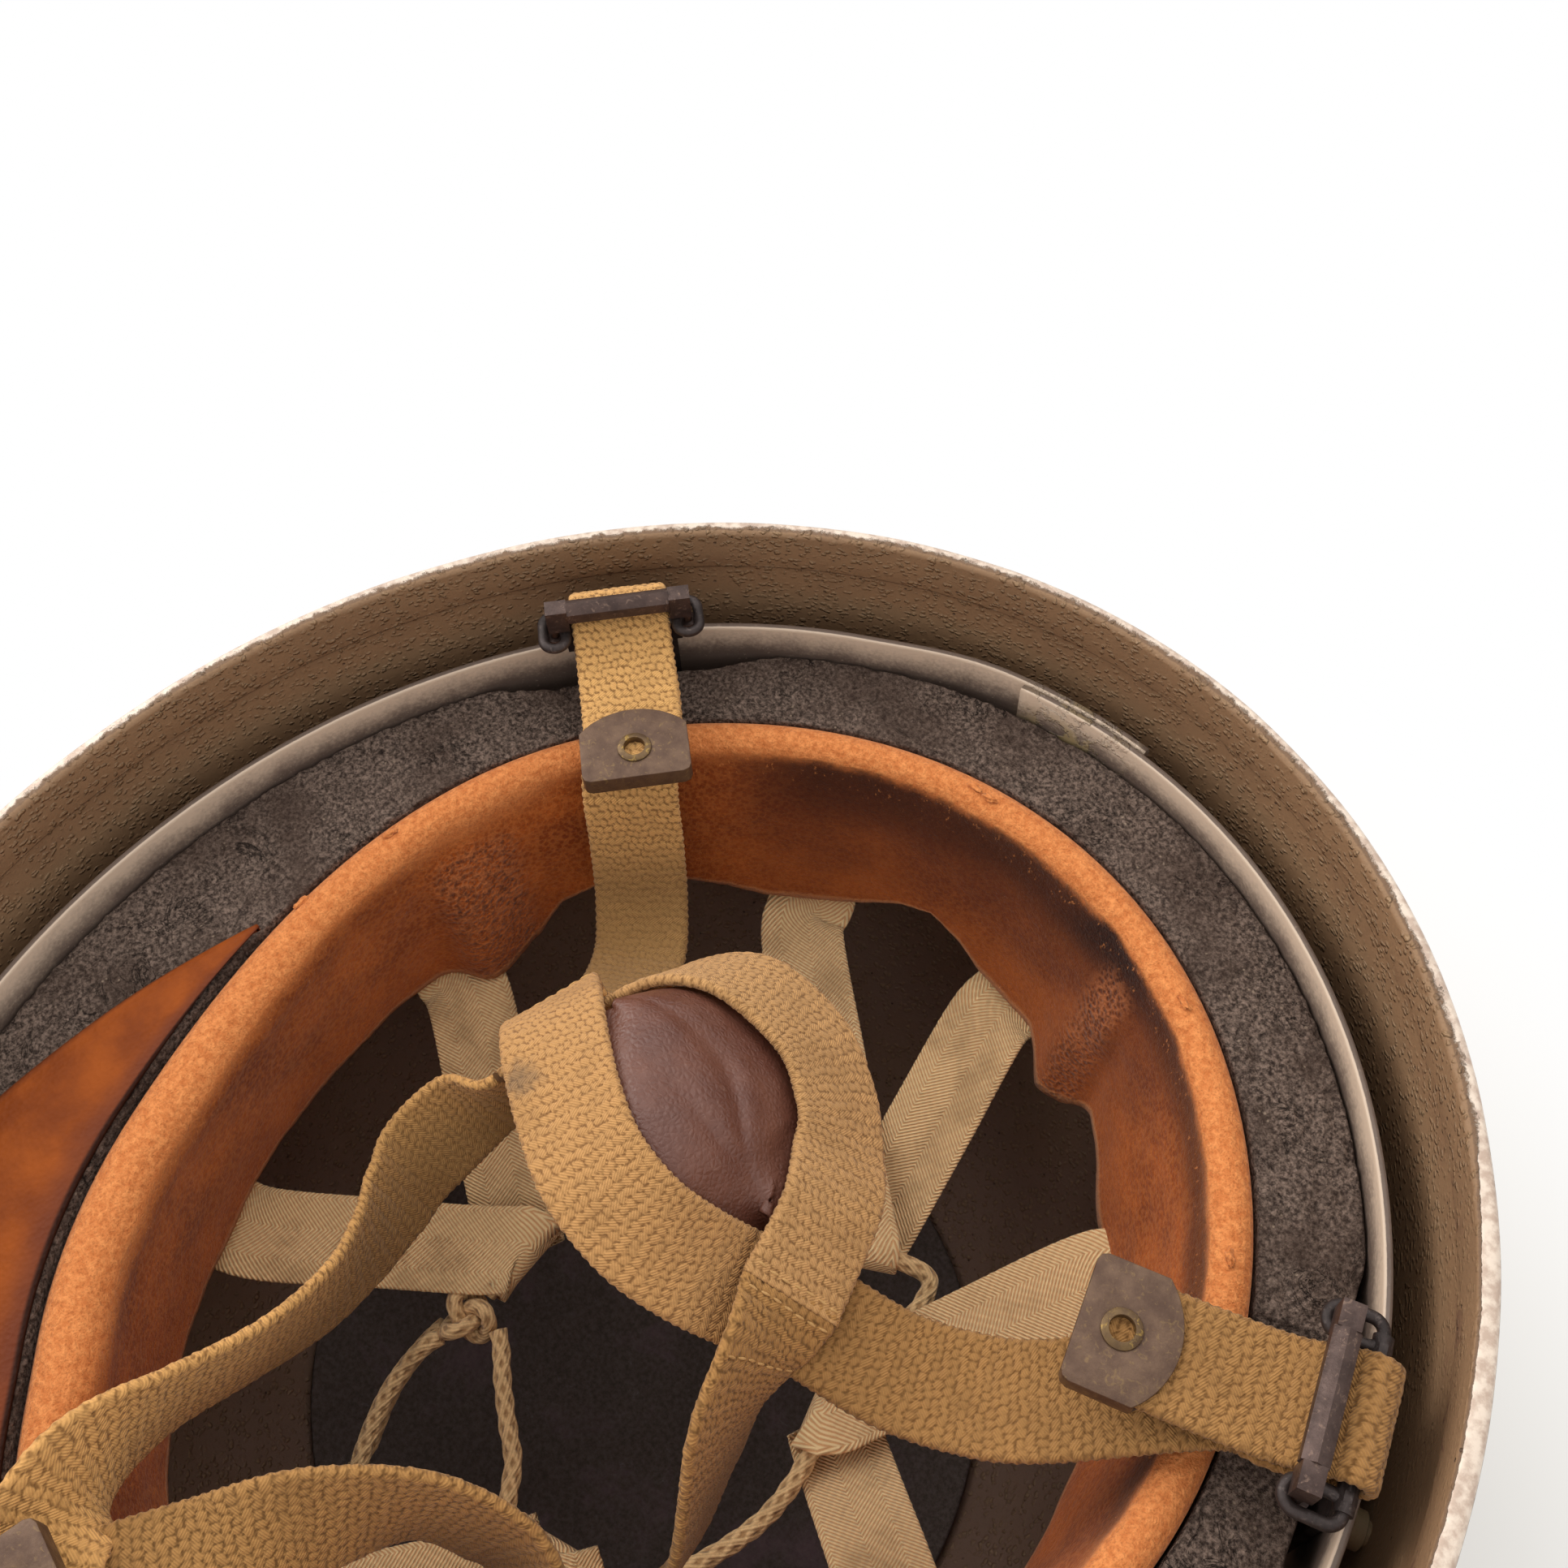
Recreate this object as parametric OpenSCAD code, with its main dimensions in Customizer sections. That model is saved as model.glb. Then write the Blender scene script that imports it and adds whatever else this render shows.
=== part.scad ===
// Steel airborne helmet with its liner and three-point chin harness, lying crown down.
// +Z is up, out of the bowl. +Y is the front of the helmet. The origin is the crown's lowest point.
// Heights of the fittings are given as depths below the plane of the rim. Left is -X and right is +X.

/* [Shell] */
// Length over the rim band, front to back
helmet_length = 282; // [270:1:300]
// Width over the rim band
helmet_width = 254; // [242:1:270]
// Height from the crown to the rim
helmet_height = 168; // [155:1:185]
// Thickness of the pressed steel
shell_wall = 1.2; // [1:0.1:1.6]
// How square the bowl's profile is: 2 is an ellipse, more is fuller
dome_power = 2.5; // [2.4:0.05:2.7]

/* [Rim band] */
// Thickness of the steel strip folded over the edge
rim_t = 0.8; // [0.6:0.1:1.2]
// How far the strip reaches down inside
rim_inside = 10; // [6:0.5:14]
// How far the strip reaches down outside
rim_outside = 8; // [5:0.5:12]

/* [Liner band] */
// How far the fibre band stands in from the helmet's outer edge
band_inset = 9.8; // [9.5:0.1:12]
// Thickness of the fibre band
band_t = 1.6; // [1.2:0.1:2.2]
// Depth of its upper edge
band_top = 19.6; // [17:0.2:24]
// Depth of its lower edge
band_bottom = 61; // [56:1:62]
// Direction of the middle of its lapped joint, from the front towards +X
band_lap_at = 3; // [-20:1:20]
// Angle that the two ends of the band share
band_lap = 12; // [6:1:20]

/* [Foam ring] */
// Depth of the foam's upper face
foam_top = 27; // [25:0.5:32]
// Depth of its lower face
foam_bottom = 60; // [50:1:62]

/* [Sweatband] */
// How far the leather roll stands in at the front and sides
roll_inset = 33.5; // [32:0.5:37]
// How much further in it stands at the back of the sides
roll_back = 15; // [10:0.5:16]
// How much of that it gives back at the nape
nape_back = 5; // [2:0.5:8]
// Radius of the rolled upper edge
roll_r = 3.8; // [3:0.1:4.5]
// How much that radius grows towards the back
roll_swell = 1.7; // [0:0.1:2]
// Depth of the top of the roll
roll_top = 24.7; // [23.5:0.1:27]
// Thickness of the leather
leather_t = 1.8; // [1.4:0.1:2.2]
// How far the lower edge stands in from the helmet's edge
edge_inset = 46; // [44:0.5:50]
// How much further in that edge stands at the back
edge_back = 6; // [4:0.5:8]
// Depth of the lower edge where a tape is sewn on
edge_depth = 70; // [68:0.5:74]
// How high the scallops between the tapes rise
scallop_rise = 9; // [4:0.5:14]
// Width of the flap that lies over the foam at the nape
flap_width = 25; // [15:0.5:26]
// Angle that the flap covers, round the back
flap_angle = 152; // [130:2:160]

/* [Crown pad] */
// Diameter of the pad on the shell's crown
pad_d = 152; // [120:1:160]
// Thickness of the pad
pad_t = 2.6; // [1.5:0.1:4]

/* [Crown tapes] */
// Width of the herringbone tape
tape_w = 18; // [15:0.5:20]
// Thickness of the tape
tape_t = 1; // [0.7:0.1:1.4]
// Depth of the folds that the drawcord runs through
fold_depth = 86; // [82:1:96]

/* [Drawcord] */
// Diameter of the braided cord
cord_d = 3.6; // [3:0.1:4.4]

/* [Brackets] */
// Direction of the two front brackets, either side of the front
bracket_angle = 55; // [48:1:62]
// Width of the bracket's plate
plate_w = 21; // [20:0.5:24]
// Thickness of the plate
plate_t = 1.5; // [1.2:0.1:2]
// Depth of the plate's lower end
plate_bottom = 52; // [48:1:60]
// Depth of the plate's upper edge, under the webbing
plate_top = 15; // [14.5:0.5:18]
// Diameter of the fixed bar that the webbing folds over
bar_d = 3; // [2.6:0.1:3.4]
// Depth of that bar's axis
bar_depth = 7.6; // [7.4:0.1:9]
// Distance of that bar's axis from the fibre band
bar_out = 3.1; // [2.9:0.1:5]
// Diameter of the rod in the two eyes
eye_rod = 2; // [1.6:0.1:2.4]
// Diameter of a rivet's shank
rivet_d = 4; // [3:0.1:5]
// Diameter of a rivet's outside head
rivet_head_d = 9; // [7:0.5:11]
// Depth of the rivets
rivet_depth = 41; // [38:1:46]
// Distance between a bracket's two rivets
rivet_pitch = 11; // [10:0.5:12]

/* [Clamp bars] */
// Thickness of the hexagonal middle, across its flats
clamp_af = 4; // [3.4:0.1:4.2]
// Width of an end block, from the front of the bar to its back
block_w = 3.4; // [2.8:0.1:3.8]
// Diameter of the leg that stands through an eye
leg_d = 1.8; // [1.4:0.1:2]
// Diameter of the peened foot below the eye
foot_d = 3.6; // [3.4:0.1:4]
// How far the bar slides off the webbing
clamp_travel = 2.2; // [1.5:0.1:3]

/* [Webbing] */
// Width of the harness webbing
web_w = 19; // [18:0.1:19.2]
// Thickness of the webbing
web_t = 2.2; // [1.6:0.1:2.4]
// Length of a strap's metal tip, along the strap
tip_l = 15.5; // [12:0.5:18]
// Width of the tip
tip_w = 20.4; // [20.2:0.1:22]
// Thickness of the tip's sheet
tip_sheet = 0.6; // [0.4:0.1:0.9]
// Diameter of the hole through the tip's eyelet
eyelet_bore = 4; // [3:0.1:4.6]
// Diameter of the eyelet's flange
eyelet_d = 6.4; // [6.2:0.1:8]

/* [Chin cup] */
// Thickness of the cup's leather
cup_t = 1.5; // [1:0.1:2]
// How far the leather rises between its two webs
cup_crown = 2; // [0:0.5:5]

/* [Fits] */
// Gap between rigid pieces that are fixed together
seat_gap = 0.25; // [0.15:0.05:0.35]
// Gap between a soft piece and what it lies on
soft_gap = 0.3; // [0.2:0.05:0.4]
// Play of a clamp bar's leg in its eye, on each side
slide_play = 0.3; // [0.25:0.05:0.4]

/* [Hidden] */

half_l = helmet_length / 2;
half_w = helmet_width / 2;
shell_steps = 60;
ring_steps = 60;

// The routes of cords and straps are laid out for a helmet of this width and length
drawn_size = [254, 282];
function fit(p) = [p[0] * helmet_width / drawn_size[0], p[1] * helmet_length / drawn_size[1], p[2]];

// A point at a polar angle from the front, an inset from the helmet's edge and a depth below the rim
function oval(angle, inset, depth) =
    let (r = 1 / norm([sin(angle) / (half_w - inset), cos(angle) / (half_l - inset)]))
    [r * sin(angle), r * cos(angle), helmet_height - depth];

// The bowl's radius at a depth, as a share of its radius at the rim
function fullness(depth, height) =
    pow(1 - pow(min(depth, height) / height, dome_power), 1 / dome_power);

function unit(v) = v / max(norm(v), 1e-9);
function mix(a, b, share) = a + (b - a) * share;
function ease(x) = let (t = min(max(x, 0), 1)) t * t * (3 - 2 * t);
function turn_between(a, b) = abs((a - b + 540) % 360 - 180);

// A smooth curve through points, with some steps from each to the next
function spline_at(p, i, t) =
    let (n = len(p) - 1, a = p[max(i - 1, 0)], b = p[i], c = p[min(i + 1, n)], d = p[min(i + 2, n)])
    0.5 * (2 * b + (c - a) * t + (2 * a - 5 * b + 4 * c - d) * t * t + (3 * b - a - 3 * c + d) * t * t * t);
function spline(p, steps) =
    concat([for (i = [0:len(p) - 2]) for (k = [0:steps - 1]) spline_at(p, i, k / steps)], [p[len(p) - 1]]);

function tangent(p, i) = unit(p[min(i + 1, len(p) - 1)] - p[max(i - 1, 0)]);

// A solid through rings of points, each running anticlockwise as seen along the way
module loft(rings, joined = false) {
    n = len(rings);
    m = len(rings[0]);
    last = joined ? n - 1 : n - 2;
    sides = [for (i = [0:last]) for (k = [0:m - 1])
        let (a = i * m + k, b = i * m + (k + 1) % m, next = ((i + 1) % n) * m,
            c = next + k, d = next + (k + 1) % m)
        each [[a, d, b], [a, c, d]]];
    start = [for (k = [1:m - 2]) [0, k, k + 1]];
    end = [for (k = [1:m - 2]) [(n - 1) * m, (n - 1) * m + k + 1, (n - 1) * m + k]];
    polyhedron([for (r = rings) each r], joined ? sides : concat(sides, start, end), convexity = 8);
}

// A flat strip along points, with the direction of its width at each
module strip(points, widths, width, thickness) {
    loft([for (i = [0:len(points) - 1])
        let (t = tangent(points, i), s = unit(widths[i] - t * (widths[i] * t)), n = cross(t, s))
        [for (c = [[-1, -1], [1, -1], [1, 1], [-1, 1]])
            points[i] + s * c[0] * width / 2 + n * c[1] * thickness / 2]]);
}

// A round cord along points, which never run straight up
module cord_along(points, sides = 8) {
    loft([for (i = [0:len(points) - 1])
        let (t = tangent(points, i), s = unit(cross(t, [0, 0, 1])), n = cross(s, t))
        [for (k = [0:sides - 1]) let (turn = k * 360 / sides)
            points[i] + (s * cos(turn) - n * sin(turn)) * cord_d / 2]]);
}

// The shell

shell_l = half_l - rim_t - seat_gap;
shell_w = half_w - rim_t - seat_gap;
shell_h = helmet_height - rim_t - seat_gap;

// A surface of the bowl, from the rim down to the crown, inside or outside
function bowl_rings(wall, rings) = [for (i = [0:rings - 1])
    let (s = i / rings * 90, k = pow(cos(s), 2 / dome_power), q = pow(sin(s), 2 / dome_power))
    [for (j = [0:shell_steps - 1])
        let (a = j * 360 / shell_steps, r = k / norm([sin(a) / (shell_w - wall), cos(a) / (shell_l - wall)]))
        [r * sin(a), r * cos(a), shell_h - (shell_h - wall) * q]]];

module bowl() {
    rows = 13;
    n = shell_steps;
    outer = bowl_rings(0, rows);
    inner = bowl_rings(shell_wall, rows);
    crown_out = [0, 0, 0];
    crown_in = [0, 0, shell_wall];
    count = rows * n;
    function next(k) = (k + 1) % n;
    function wall_faces(base, turn) = [for (i = [0:rows - 2]) for (k = [0:n - 1])
        let (a = base + i * n + k, b = base + i * n + next(k), c = a + n, d = b + n)
        each (turn ? [[a, c, d], [a, d, b]] : [[a, d, c], [a, b, d]])];
    function crown_faces(base, pole, turn) = [for (k = [0:n - 1])
        let (a = base + (rows - 1) * n + k, b = base + (rows - 1) * n + next(k))
        turn ? [a, pole, b] : [a, b, pole]];
    rim = [for (k = [0:n - 1]) each [[k, next(k), count + next(k)], [k, count + next(k), count + k]]];
    polyhedron(
        concat([for (r = outer) each r], [for (r = inner) each r], [crown_out, crown_in]),
        concat(wall_faces(0, true), wall_faces(count, false),
            crown_faces(0, 2 * count, true), crown_faces(count, 2 * count + 1, false), rim),
        convexity = 6);
}

module shell() color([0.35, 0.31, 0.22]) {
    difference() {
        bowl();
        for (a = bracket_angles) rivet_places(a) rivet_bore();
    }
}

// The rim band, a channel folded over the shell's edge

module rim_band() color([0.52, 0.48, 0.40]) {
    // The shell's wall leans in a little, so the inner leg stands further off
    inside = rim_t + seat_gap + shell_wall + seat_gap + 0.15;
    face = inside + rim_t;
    soft_edge = 0.45;
    loft([for (i = [0:ring_steps - 1]) let (a = i * 360 / ring_steps) [for (p = [
        [0, rim_outside], [0, soft_edge], [soft_edge, 0], [face - soft_edge, 0], [face, soft_edge],
        [face, rim_inside], [inside, rim_inside], [inside, rim_t], [rim_t, rim_t], [rim_t, rim_outside]
        ]) oval(a, p[0], p[1])]], joined = true);
}

// The fibre band, one strip whose ends lap at the front

module liner_band() color([0.44, 0.42, 0.41]) {
    // The far end steps outwards by its own thickness over these angles, round the near end
    first = band_lap_at - band_lap / 2;
    step_from = 345;
    step_over = 13;
    difference() {
        loft([for (i = [0:ring_steps])
            let (a = first + i * (360 + band_lap) / ring_steps,
                out = ease((a - first - step_from) / step_over) * (band_t + seat_gap))
            [for (p = [[0, band_bottom], [0, band_top], [band_t, band_top], [band_t, band_bottom]])
                oval(a, band_inset + p[0] - out, p[1])]]);
        for (a = bracket_angles) rivet_places(a) rivet_bore();
    }
}

// The foam ring, pushed in where a bracket's plate stands behind it

bracket_angles = [-bracket_angle, bracket_angle, 180];
band_face = band_inset + band_t;
clench_t = 1.2;
plate_back = 0.9;
relief = plate_back + plate_t + clench_t + 2 * soft_gap;
function beside_plate(angle) = max([for (b = bracket_angles) 1 - ease((turn_between(angle, b) - 7) / 9)]);
// How far round to the back an angle is, from nought before the temples to one behind the ears
function to_back(angle) = ease((turn_between(angle, 0) - 55) / 75);
function to_nape(angle) = ease((turn_between(angle, 0) - 155) / 25);
function roll_at(angle) = roll_inset + roll_back * to_back(angle) - nape_back * to_nape(angle);
function roll_r_at(angle) = roll_r + roll_swell * to_back(angle);
function foam_outer(angle) = band_face + soft_gap + (relief - soft_gap) * beside_plate(angle);
function foam_inner(angle) = roll_at(angle) - roll_r_at(angle) - soft_gap;

// How much higher the foam stands along the leather than along the band
foam_rise = 0.5;
module foam_ring() color([0.20, 0.19, 0.18]) {
    round = 1.5;
    loft([for (i = [0:ring_steps - 1])
        let (a = i * 360 / ring_steps, o = foam_outer(a), n = foam_inner(a))
        [for (p = [[o, foam_bottom], [o, foam_top + round], [o + round, foam_top],
            [n - round, foam_top - foam_rise], [n, foam_top + round], [n, foam_bottom]])
            oval(a, p[0], p[1])]], joined = true);
}

// The sweatband, leather rolled over at the top and scalloped at the bottom

tape_angles = [[-132, -85], [-32, -3], [34, 87], [130, 176]];
tape_ends = [for (t = tape_angles) each t];
function to_tape(angle) = min([for (t = tape_ends) turn_between(angle, t)]);
function edge_at(angle) = edge_inset + edge_back * ease((turn_between(angle, 0) - 85) / 50);
function edge_depth_at(angle) = edge_depth - scallop_rise * ease((to_tape(angle) - 6) / 12);

// The leather's inner face between the roll and the edge: where it starts, at two depths, and near the edge
face_high = 41;
face_low = edge_depth - 15;
function face_start(angle) = roll_at(angle) + roll_r_at(angle) + 0.4;
function face_at(angle, share) = mix(face_start(angle), edge_at(angle), share);
function face_near_edge(angle, depth) =
    mix(face_at(angle, 0.64), edge_at(angle), (depth - face_low) / (edge_depth - face_low));

module sweatband() color([0.70, 0.40, 0.20]) {
    slant = 0.71;
    loft([for (i = [0:ring_steps - 1])
        let (a = i * 360 / ring_steps, c = roll_at(a), r = roll_r_at(a), middle = roll_top + r, t = leather_t,
            high = face_at(a, 0.32), low = face_at(a, 0.64), d = edge_depth_at(a), edge = face_near_edge(a, d))
        [for (p = [
            [c - r + t, foam_bottom], [c - r, foam_bottom], [c - r, middle],
            [c - r * slant, middle - r * slant], [c, roll_top], [c + r * slant, middle - r * slant],
            [face_start(a), middle + 1.5], [high, face_high], [low, face_low], [edge, d],
            [edge - t, d], [low - t, face_low], [high - t, face_high + 0.5],
            [face_start(a) - t - 0.1, middle + 2], [c, roll_top + t], [c - r + t, middle + 1]
            ]) oval(a, p[0], p[1])]], joined = true);
}

// The flap, a skirt of leather that lies on the foam round the nape and tapers at both ends

flap_steps = 36;
flap_end = 1;
flap_taper = 0.75;

module sweatband_flap() color([0.55, 0.27, 0.12]) {
    top = foam_top - foam_rise - soft_gap - leather_t;
    loft([for (i = [0:flap_steps])
        let (from_end = flap_angle / 2 * (1 - abs(2 * i / flap_steps - 1)),
            a = 180 + flap_angle * (0.5 - i / flap_steps),
            c = roll_at(a) - roll_r_at(a) - soft_gap, w = min(flap_width, flap_end + flap_taper * from_end),
            out = max(c - w, foam_outer(a) + 2), belly = min(0.5, w * 0.1))
        [for (p = [[c, top + leather_t - 0.1], [c, top], [mix(c, out, 0.5), top - belly],
            [out, top + leather_t * 0.4], [out, top + leather_t - 0.1]])
            oval(a, p[0], p[1])]]);
}

// The crown pad, a disc glued in the bottom of the bowl

pad_at = [-9, -2];
pad_rings = 5;
pad_steps = 30;

function bowl_floor(x, y) =
    let (r = norm([x / (shell_w - shell_wall), y / (shell_l - shell_wall)]))
    shell_h - (shell_h - shell_wall) * pow(1 - pow(r, dome_power), 1 / dome_power);

module crown_pad() {
    function disc(lift, share) = [for (i = [1:pad_rings]) for (k = [0:pad_steps - 1])
        let (a = k * 360 / pad_steps, r = pad_d / 2 * i / pad_rings * (i == pad_rings ? share : 1),
            x = pad_at[0] + r * sin(a), y = pad_at[1] + r * cos(a))
        [x, y, bowl_floor(x, y) + lift]];
    under = disc(seat_gap + 0.2, 1);
    over = disc(seat_gap + 0.2 + pad_t, 0.985);
    n = len(under);
    points = concat(under, over, [[pad_at[0], pad_at[1], bowl_floor(pad_at[0], pad_at[1]) + seat_gap + 0.2],
        [pad_at[0], pad_at[1], bowl_floor(pad_at[0], pad_at[1]) + seat_gap + 0.2 + pad_t]]);
    function next(k) = (k + 1) % pad_steps;
    rings = [for (i = [0:pad_rings - 2]) for (k = [0:pad_steps - 1])
        let (a = i * pad_steps + k, b = i * pad_steps + next(k), c = a + pad_steps, d = b + pad_steps)
        each [[a, b, d], [a, d, c], [n + a, n + d, n + b], [n + a, n + c, n + d]]];
    middle = [for (k = [0:pad_steps - 1]) each [[2 * n, next(k), k], [2 * n + 1, n + k, n + next(k)]]];
    rim = [for (k = [0:pad_steps - 1])
        let (a = n - pad_steps + k, b = n - pad_steps + next(k))
        each [[a, b, n + b], [a, n + b, n + a]]];
    color([0.09, 0.09, 0.10]) polyhedron(points, concat(rings, middle, rim), convexity = 6);
}

// The crown tapes, four lengths of tape that are each folded round the drawcord

fold_places = [[-27, -13], [13, 41], [34, 18], [24, -38]];
fold_r = cord_d / 2 + tape_t / 2 + 2 * soft_gap;
below_rim = [0, 0, helmet_height];
below_fold = below_rim - [0, 0, fold_depth];
function flat(v) = unit([v[0], v[1], 0]);
function quarter(v) = [-v[1], v[0], 0];

// Where a tape leaves the back of the sweatband, and where it comes out under the edge
behind_leather = leather_t + soft_gap + tape_t / 2;
sewn_depth = edge_depth - 9;
function tape_root(angle) = oval(angle, face_near_edge(angle, sewn_depth) - behind_leather - 0.6, sewn_depth);
function tape_hem(angle) = oval(angle, edge_at(angle) - behind_leather, edge_depth + 1.2);
function tape_out(angle) = oval(angle, edge_at(angle) + 5, edge_depth + 4.5);
function along_edge(angle) = unit(oval(angle + 1, edge_inset, 0) - oval(angle - 1, edge_inset, 0));

module tape_loop(n) {
    ends = tape_angles[n];
    fold = fit([fold_places[n][0], fold_places[n][1], 0]) + below_fold;
    to_a = flat(tape_out(ends[0]) - fold);
    to_b = flat(tape_out(ends[1]) - fold);
    back = unit(to_a + to_b);
    crease = quarter(back) * sign(quarter(back) * quarter(to_a) * -1 + 1e-9);
    up = [0, 0, fold_r];
    near = 9;
    over = fold + to_a * near + up;
    under = fold + to_b * near - up;
    route = [
        tape_root(ends[0]), tape_hem(ends[0]), tape_out(ends[0]), mix(tape_out(ends[0]), over, 0.5),
        over, fold + up, fold + (up - back * fold_r) * 0.7, fold - back * fold_r,
        fold - (up + back * fold_r) * 0.7, fold - up, under,
        mix(tape_out(ends[1]), under, 0.5), tape_out(ends[1]), tape_hem(ends[1]), tape_root(ends[1])];
    side_a = quarter(to_a);
    side_b = -quarter(to_b);
    edge_a = along_edge(ends[0]) * sign(along_edge(ends[0]) * side_a);
    edge_b = along_edge(ends[1]) * sign(along_edge(ends[1]) * side_b);
    cross_fold = quarter(back);
    fold_side_a = cross_fold * sign(cross_fold * side_a);
    widths = concat([edge_a, edge_a, edge_a, side_a, side_a], [for (k = [1:5]) fold_side_a],
        [for (k = [1:2]) side_of(side_b, fold_side_a)], [for (k = [1:3]) side_of(edge_b, fold_side_a)]);
    strip(spline(route, 3), spline(widths, 3), tape_w, tape_t);
}
function side_of(v, like) = v * like < 0 ? -v : v;

module tape_left() color([0.76, 0.62, 0.46]) tape_loop(0);
module tape_front() color([0.76, 0.62, 0.46]) tape_loop(1);
module tape_right() color([0.76, 0.62, 0.46]) tape_loop(2);
module tape_rear() color([0.76, 0.62, 0.46]) tape_loop(3);

// The drawcord, one length of braided cord through the four folds, knotted at the left

// Heights are counted from the folds
cord_route = [[-17.1, -24.6, -0.5], [-14, -25.8, -1], [-8.5, -28.8, -1], [-1.7, -32, -1.5], [5.2, -34.9, -1.5],
    [10, -38.7, -1], [15, -42, 0], [24, -38, 0], [34, -33, 0], [40, -20, -1], [42, -4, -1], [39, 9, 0],
    [34, 18, 0], [28.5, 28, 0], [30, 41, -1], [27, 49, -1], [21, 47, 0], [13, 41, 0], [5, 35, 0], [-10, 22, -1],
    [-24, 9, 0], [-30, -2, 0], [-27, -13, 0], [-25.2, -19.5, 0], [-24.2, -22.7, -0.5]];
tail_long_route = [[-23.4, -34.2, -1.7], [-23.9, -38.4, -2.6], [-23.4, -43.5, -5], [-22.1, -48.2, -7],
    [-20.1, -52.6, -9], [-17.6, -56.9, -11], [-15, -60.8, -13], [-14, -64.6, -15]];
tail_short_route = [[-25.8, -32.6, -4.6], [-26, -37, -6.9], [-25.3, -41.8, -9], [-24, -46.4, -10.7],
    [-22.1, -50.8, -12.7], [-19.6, -55, -14.7], [-17.6, -58.6, -16.6]];
function laid(route, steps) = [for (p = spline([for (q = route) fit(q)], steps)) p + below_fold];

module drawcord() color([0.72, 0.62, 0.46])
    cord_along(laid(cord_route, 3));
module drawcord_tail_long() color([0.72, 0.62, 0.46])
    cord_along(laid(tail_long_route, 2));
module drawcord_tail_short() color([0.72, 0.62, 0.46])
    cord_along(laid(tail_short_route, 2));

// The knot, a trefoil of the same cord pulled tight
knot_at = fit([-23.2, -28, -1.1]) + below_fold;
knot_size = 1.6;
knot_squeeze = 0.67;
module drawcord_knot() color([0.72, 0.62, 0.46]) {
    turns = 36;
    sides = 6;
    r = cord_d / 2 * knot_squeeze;
    line = [for (i = [0:turns - 1]) let (a = i * 360 / turns)
        knot_at + [sin(a) + 2 * sin(2 * a), cos(a) - 2 * cos(2 * a), -1.75 * sin(3 * a)] * knot_size];
    loft([for (i = [0:turns - 1])
        let (t = unit(line[(i + 1) % turns] - line[(i + turns - 1) % turns]),
            s = unit(cross(t, [0, 0, 1])), n = cross(s, t))
        [for (k = [0:sides - 1]) line[i] + (s * cos(k * 360 / sides) - n * sin(k * 360 / sides)) * r]],
        joined = true);
}

// The brackets. Local x runs along the bars, y is outwards and z is up from the rim.

function bracket_turn(angle) =
    let (t = oval(angle + 0.5, band_face, 0) - oval(angle - 0.5, band_face, 0)) atan2(t[1], t[0]);
// A point by its place along the bars, its distance inwards from the fibre band and its height from the rim
function from_bracket(angle, along, inwards, height) =
    let (t = bracket_turn(angle))
    oval(angle, band_face, 0) + [along * cos(t) + inwards * sin(t), along * sin(t) - inwards * cos(t), height];
module at_bracket(angle) translate(oval(angle, band_face, 0)) rotate([0, 0, bracket_turn(angle)]) children();

loop_r = bar_d / 2 + soft_gap + web_t / 2;
clamp_lift = 53;
clamp_far = bar_d / 2 + 2 * soft_gap + web_t + clamp_af / 2;
clamp_in = bar_out + clamp_far * cos(clamp_lift);
clamp_high = -bar_depth + clamp_far * sin(clamp_lift);
eye_hole_w = leg_d + 2 * slide_play;
eye_x = web_w / 2 + soft_gap + eye_rod + eye_hole_w / 2;
eye_r = (eye_hole_w + eye_rod) / 2;
eye_end = clamp_in + clamp_travel + leg_d / 2 + slide_play + eye_rod / 2;
arm_in = web_w / 2 + soft_gap;
// The arm is thinner than the eye's rod, which it carries on its middle
arm_t = eye_rod * 0.8;

// A flattened ring of round rod beside the webbing, open upwards, that starts at the fixed bar
module eye() {
    for (end = [bar_out + eye_r, eye_end - eye_r]) translate([0, -end, 0])
        rotate([0, 0, end < bar_out + eye_r + 0.01 ? 0 : 180])
            rotate_extrude(angle = 180, $fn = 36) translate([eye_r, 0]) circle(d = eye_rod, $fn = 20);
    for (side = [-1, 1]) translate([side * eye_r, -bar_out - eye_r, 0]) rotate([90, 0, 0])
        cylinder(d = eye_rod, h = eye_end - bar_out - 2 * eye_r, $fn = 20);
}

module bracket(angle) color([0.16, 0.13, 0.12]) {
    plate_in = plate_back + plate_t;
    difference() {
        at_bracket(angle) {
            translate([-plate_w / 2, -plate_in, -plate_bottom])
                cube([plate_w, plate_t, plate_bottom - plate_top]);
            for (side = [-1, 1]) {
                // The arm is bent from the plate's side and carries the bar's end
                translate([side * (arm_in + eye_rod / 2) + arm_t / 2, 0, 0])
                    rotate([0, 0, -90]) rotate([90, 0, 0]) linear_extrude(arm_t) polygon([
                        [plate_back, -plate_top - 5], [plate_in, -plate_top - 5], [plate_in + 0.6, -plate_top],
                        [bar_out + bar_d / 2, -bar_depth - 1], [bar_out + bar_d / 2, -bar_depth + 0.6],
                        [bar_out + 0.6, -bar_depth + bar_d / 2], [bar_out - 0.6, -bar_depth + bar_d / 2],
                        [bar_out - bar_d / 2, -bar_depth + 0.6], [plate_back, -plate_top + 1]]);
                translate([side * eye_x, 0, -bar_depth]) eye();
            }
            translate([-eye_x, -bar_out, -bar_depth]) rotate([0, 90, 0])
                cylinder(d = bar_d, h = 2 * eye_x, $fn = 32);
        }
        rivet_places(angle) rivet_bore();
    }
}
module bracket_left() bracket(-bracket_angle);
module bracket_right() bracket(bracket_angle);
module bracket_rear() bracket(180);

// The rivets, two through each bracket's plate, the fibre band and the shell

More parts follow.
